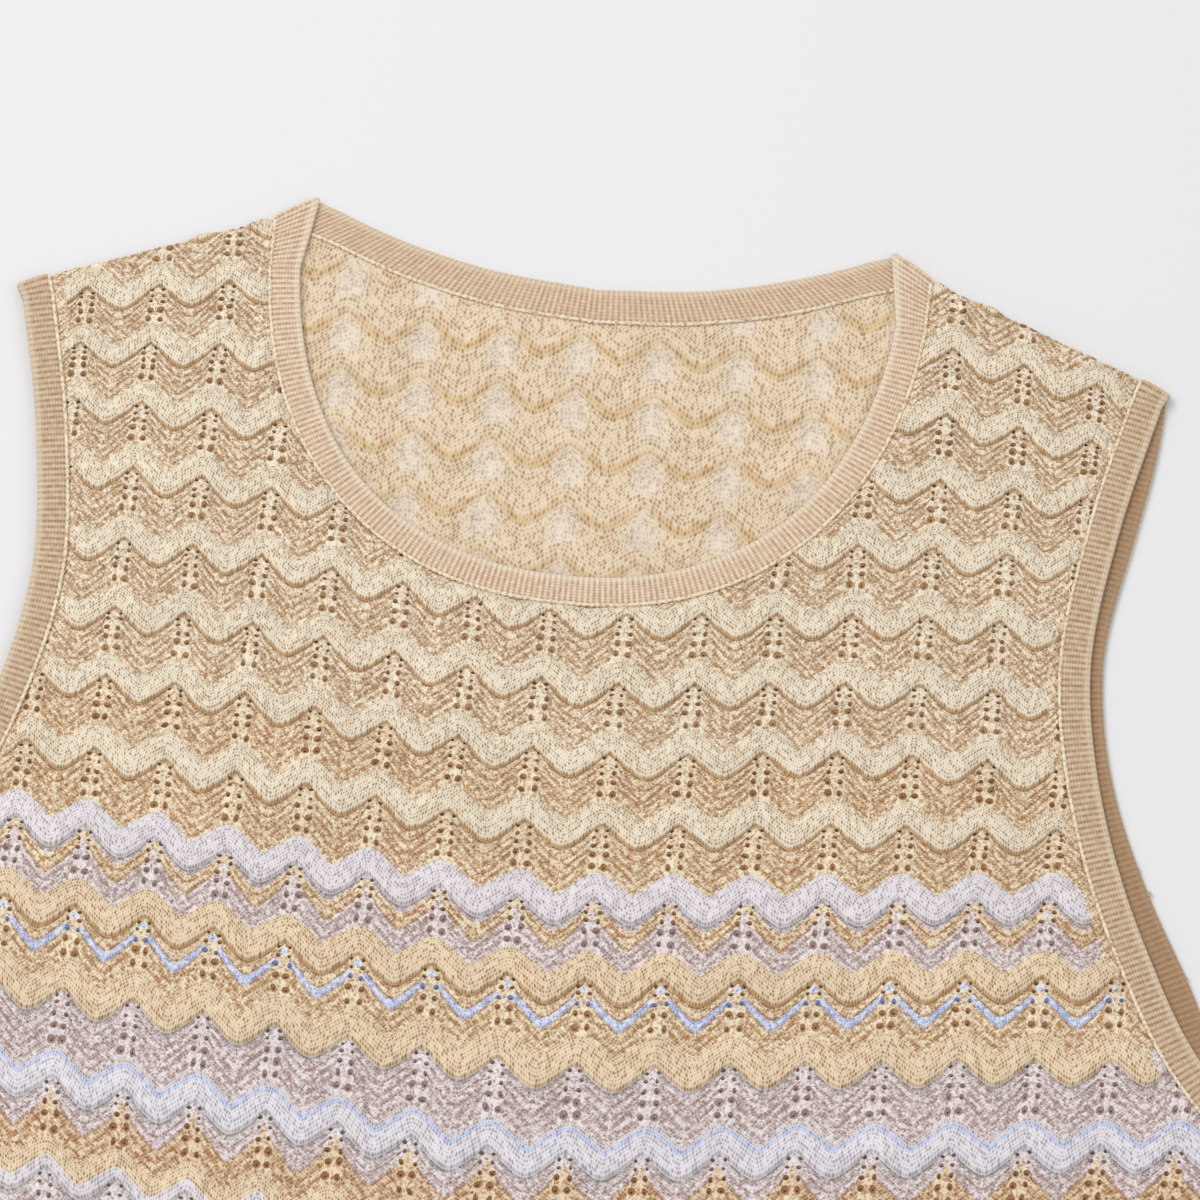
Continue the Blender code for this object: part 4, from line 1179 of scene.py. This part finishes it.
def rib_material(name, shades, inner_shade_share):
    """The bands' 1x1 rib: the same viscose knitted tight, pale on each rib and brown between, with
    a row of small bumps across it, paler along the free edge, and painted shade on its inner side
    and between the ribs by the seam."""
    material, tree, shader = yarn_material(name, 0.8, 0.3, 0.1)
    uv = add(tree, "UVMap", uv_map="stitch")
    u = add(tree, "SeparateXYZ", uv)
    v = add(tree, "SeparateXYZ", uv, out=1)
    inner = add(tree, "Math", v, -1.0, operation="LESS_THAN")
    v = add(tree, "Math", inner, float(INNER_SIDE), v, operation="MULTIPLY_ADD")
    pale, brown, edge, dim = [(*linear(shade), 1) for shade in shades]
    rib = add(tree, "Math", u, 0.5, operation="PINGPONG")
    course = add(tree, "Math", v, 1.05, operation="MULTIPLY")

    # Brown lies between the ribs, unevenly from bump to bump, and each bump catches the light
    side = add(tree, "Math", u, 2.0, operation="MULTIPLY")
    side = add(tree, "Math", side, operation="ROUND")
    course_number = add(tree, "Math", course, operation="FLOOR")
    cell = add(tree, "CombineXYZ", side, course_number)
    chance = add(tree, "TexWhiteNoise", cell, noise_dimensions="3D")
    between = add(tree, "MapRange", rib, 0.2, 0.46, 0.0, 1.0, interpolation_type="SMOOTHSTEP")
    bead = add(tree, "Math", course, 0.5, operation="PINGPONG")
    bead = add(tree, "Math", bead, 0.9, operation="MULTIPLY")
    shade = add(tree, "Math", chance, 0.36, operation="MULTIPLY")
    shade = add(tree, "Math", between, 0.46, shade, operation="MULTIPLY_ADD")
    shade = add(tree, "Math", shade, 0.16, operation="ADD")
    shade = add(tree, "Math", bead, -0.75, shade, operation="MULTIPLY_ADD")
    colour = add(tree, "Mix", shade, put={6: pale, 7: brown}, out=2, data_type="RGBA",
                 clamp_factor=True)
    near_edge = add(tree, "MapRange", v, 7.3, 7.9, 0.0, 0.5, interpolation_type="SMOOTHSTEP")
    colour = add(tree, "Mix", near_edge, put={6: colour, 7: edge}, out=2, data_type="RGBA")
    # painted shade: darker between the ribs next to the seam, and over the inner side by its share
    near_seam = add(tree, "MapRange", v, 0.3, 1.3, 0.5, 0.0)
    seam_shadow = add(tree, "Math", near_seam, between, operation="MULTIPLY")
    shaded = add(tree, "Math", inner, inner_shade_share, seam_shadow, operation="MULTIPLY_ADD")
    colour = add(tree, "Mix", shaded, put={6: colour, 7: dim}, out=2, data_type="RGBA")
    tree.links.new(colour, shader.inputs["Base Color"])
    height = add(tree, "Math", between, -1.0, bead, operation="MULTIPLY_ADD")
    height = add(tree, "Math", height, 1.0, operation="ADD")
    bump = add(tree, "Bump", put={"Strength": 0.7, "Distance": 0.3 * MM, "Height": height})
    tree.links.new(bump, shader.inputs["Normal"])
    return material


# The shades: rib, between the ribs, rolled edge, and the inner side's painted shade, with the share
# of that shade on the inner side
NECK_KNIT = rib_material("viscose_rib_neck", ("EBD5BB", "AE8866", "EEE0CA", "B08A63"), 0.22)
# painted shade: the armholes' rib is the neck's viscose in darker shades, with more of its inner
# side shaded
ARM_KNIT_SHADED = rib_material("viscose_rib_armholes_shaded", ("D9C0A2", "947152", "DFCFB6", "98704A"), 0.68)
bands = (
    (neckband, "neckband", NECK_KNIT), (armband_left, "armhole_band_left", ARM_KNIT_SHADED),
    (armband_right, "armhole_band_right", ARM_KNIT_SHADED),
)
for piece, node_name, knit in bands:
    outwards(piece)
    piece.data.materials.append(knit)
    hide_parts(node_name)
    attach(piece, "root")

# ---------------------------------------------------------------------------------------------
# Linking: a chain of cream yarn joins each band to the panels, loop through loop. It is the last
# seam to be worked, and stands on the fold between the two.
# ---------------------------------------------------------------------------------------------

CHAIN_RADIUS = 0.6 * MM
CHAIN_LOOP = 2.1 * MM
CHAIN_SIDES = 7
CHAIN_LIFT_BACK = 0.95 * MM  # above the bands' middle, on the back layer and on the front one
CHAIN_LIFT_FRONT = 0.62 * MM


def chain(name, seam):
    """A chain stitch along a closed line: a round cord whose radius beats once a loop, and which
    is thinner where it climbs round a fold."""
    run = run_along(seam)
    count = int(run[-1] / (CHAIN_LOOP / 4))
    places = np.arange(count) / count * run[-1]
    line = points_at(places, run, seam)
    ahead = np.roll(line, -2, axis=0) - np.roll(line, 2, axis=0)
    ahead /= np.linalg.norm(ahead, axis=1)[:, None]
    beat = np.cos(2 * np.pi * np.round(run[-1] / CHAIN_LOOP) * places / run[-1])
    on_front = line[:, 2] > (FRONT_LEVEL + BACK_LEVEL) / 2
    line[:, 2] += np.where(on_front, CHAIN_LIFT_FRONT, CHAIN_LIFT_BACK)
    up = np.array([0, 0, 1.0])
    side = np.cross(ahead, up)
    side /= np.linalg.norm(side, axis=1)[:, None]
    turn = (np.arange(CHAIN_SIDES) / CHAIN_SIDES * 2 * np.pi)[None, :, None]
    radius = CHAIN_RADIUS * ((1 + 0.28 * beat) * (1 - 0.75 * np.abs(ahead[:, 2])))[:, None, None]
    points = line[:, None] + radius * (np.cos(turn) * side[:, None] + np.sin(turn) * up)
    points[..., 1] = NECK_Y - points[..., 1]
    return closed_loop(name, points)


def linking_material():
    """Cream linking yarn: two plies twisted, matt, with slightly darker flecks of fibre."""
    material, tree, shader = yarn_material("cream_linking_yarn", 0.85, 0.25, 0.0)
    place = add(tree, "TexCoord", out=3)
    fibre = add(tree, "TexNoise", place, put={"Scale": 900.0, "Detail": 2.0})
    pale, dark = [(*linear(shade), 1) for shade in ("EFE3CC", "C4A47C")]
    share = add(tree, "MapRange", fibre, 0.45, 0.68, 0.0, 1.0)
    colour = add(tree, "Mix", share, put={6: pale, 7: dark}, out=2, data_type="RGBA")
    tree.links.new(colour, shader.inputs["Base Color"])
    bump = add(tree, "Bump", put={"Strength": 0.5, "Distance": 0.2 * MM, "Height": fibre})
    tree.links.new(bump, shader.inputs["Normal"])
    return material


LINKING_YARN = linking_material()
linked = (
    ("neck_linking", neck_seam), ("armhole_linking_left", left_seam),
    ("armhole_linking_right", right_seam),
)
for name, seam in linked:
    piece = chain(name, seam)
    outwards(piece)
    piece.data.materials.append(LINKING_YARN)
    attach(piece, "root")

# ---------------------------------------------------------------------------------------------
# Laid flat: the front is four lengths of cloth that lie on the back, and the back is two. Each is
# cut to the panel's outline.
# ---------------------------------------------------------------------------------------------


# ---------------------------------------------------------------------------------------------
# Studio: a pale matt table top just under the dress, a large soft light from the upper left like a
# window, weak fill from the right, and a long lens at the photograph's angle.
# ---------------------------------------------------------------------------------------------

TABLE_LEVEL = -0.3 * MM
TABLE_REACH = 4.0
signs = ((-1, -1), (1, -1), (1, 1), (-1, 1))
corners = [(TABLE_REACH * x, TABLE_REACH * y, TABLE_LEVEL) for x, y in signs]
mesh = bpy.data.meshes.new("table_top")
mesh.from_pydata(corners, [], [(0, 1, 2, 3)])
table_top = placed("table_top", mesh)
paper = bpy.data.materials.new("matt_white_board")
paper.use_nodes = True
paper_shader = paper.node_tree.nodes["Principled BSDF"]
paper_shader.inputs["Base Color"].default_value = (*linear("E7E7E8"), 1)
paper_shader.inputs["Roughness"].default_value = 0.9
paper_shader.inputs["Specular IOR Level"].default_value = 0.2
table_top.data.materials.append(paper)

world = bpy.data.worlds.new("studio")
bpy.context.scene.world = world
world.use_nodes = True
sky = world.node_tree.nodes["Background"]
sky.inputs["Color"].default_value = (*linear("F7F7F8"), 1)
sky.inputs["Strength"].default_value = 0.66


def soft_light(name, place, aim, size, power):
    """A square area light that faces its aim."""
    data = bpy.data.lights.new(name, "AREA")
    data.size = size
    data.energy = power
    light = placed(name, data)
    light.location = place
    light.rotation_mode = "QUATERNION"
    light.rotation_quaternion = (Vector(place) - Vector(aim)).to_track_quat("Z", "Y")


soft_light("window", (-1.1, 0.8, 2.0), (0, 0.25, 0), 1.4, 25)
soft_light("fill", (1.3, -0.2, 2.0), (0, 0.2, 0), 1.6, 7.5)

CAMERA_ELEVATION = np.radians(68)
CAMERA_AZIMUTH = np.radians(6)
CAMERA_DISTANCE = 3.0
CAMERA_LENS = 290
LOOK_AT = np.array([0.0115, 0.3221, 0.003])
back = np.array([
    np.sin(CAMERA_AZIMUTH) * np.cos(CAMERA_ELEVATION),
    -np.cos(CAMERA_AZIMUTH) * np.cos(CAMERA_ELEVATION),
    np.sin(CAMERA_ELEVATION),
])
camera_data = bpy.data.cameras.new("camera")
camera_data.lens = CAMERA_LENS
camera_data.sensor_width = 36
camera_data.clip_start = 0.1
camera_data.clip_end = 50
camera = placed("camera", camera_data)
camera.location = LOOK_AT + back * CAMERA_DISTANCE
camera.rotation_mode = "QUATERNION"
camera.rotation_quaternion = Vector(-back).to_track_quat("-Z", "Y")
bpy.context.scene.camera = camera
bpy.context.scene.view_settings.view_transform = "Standard"
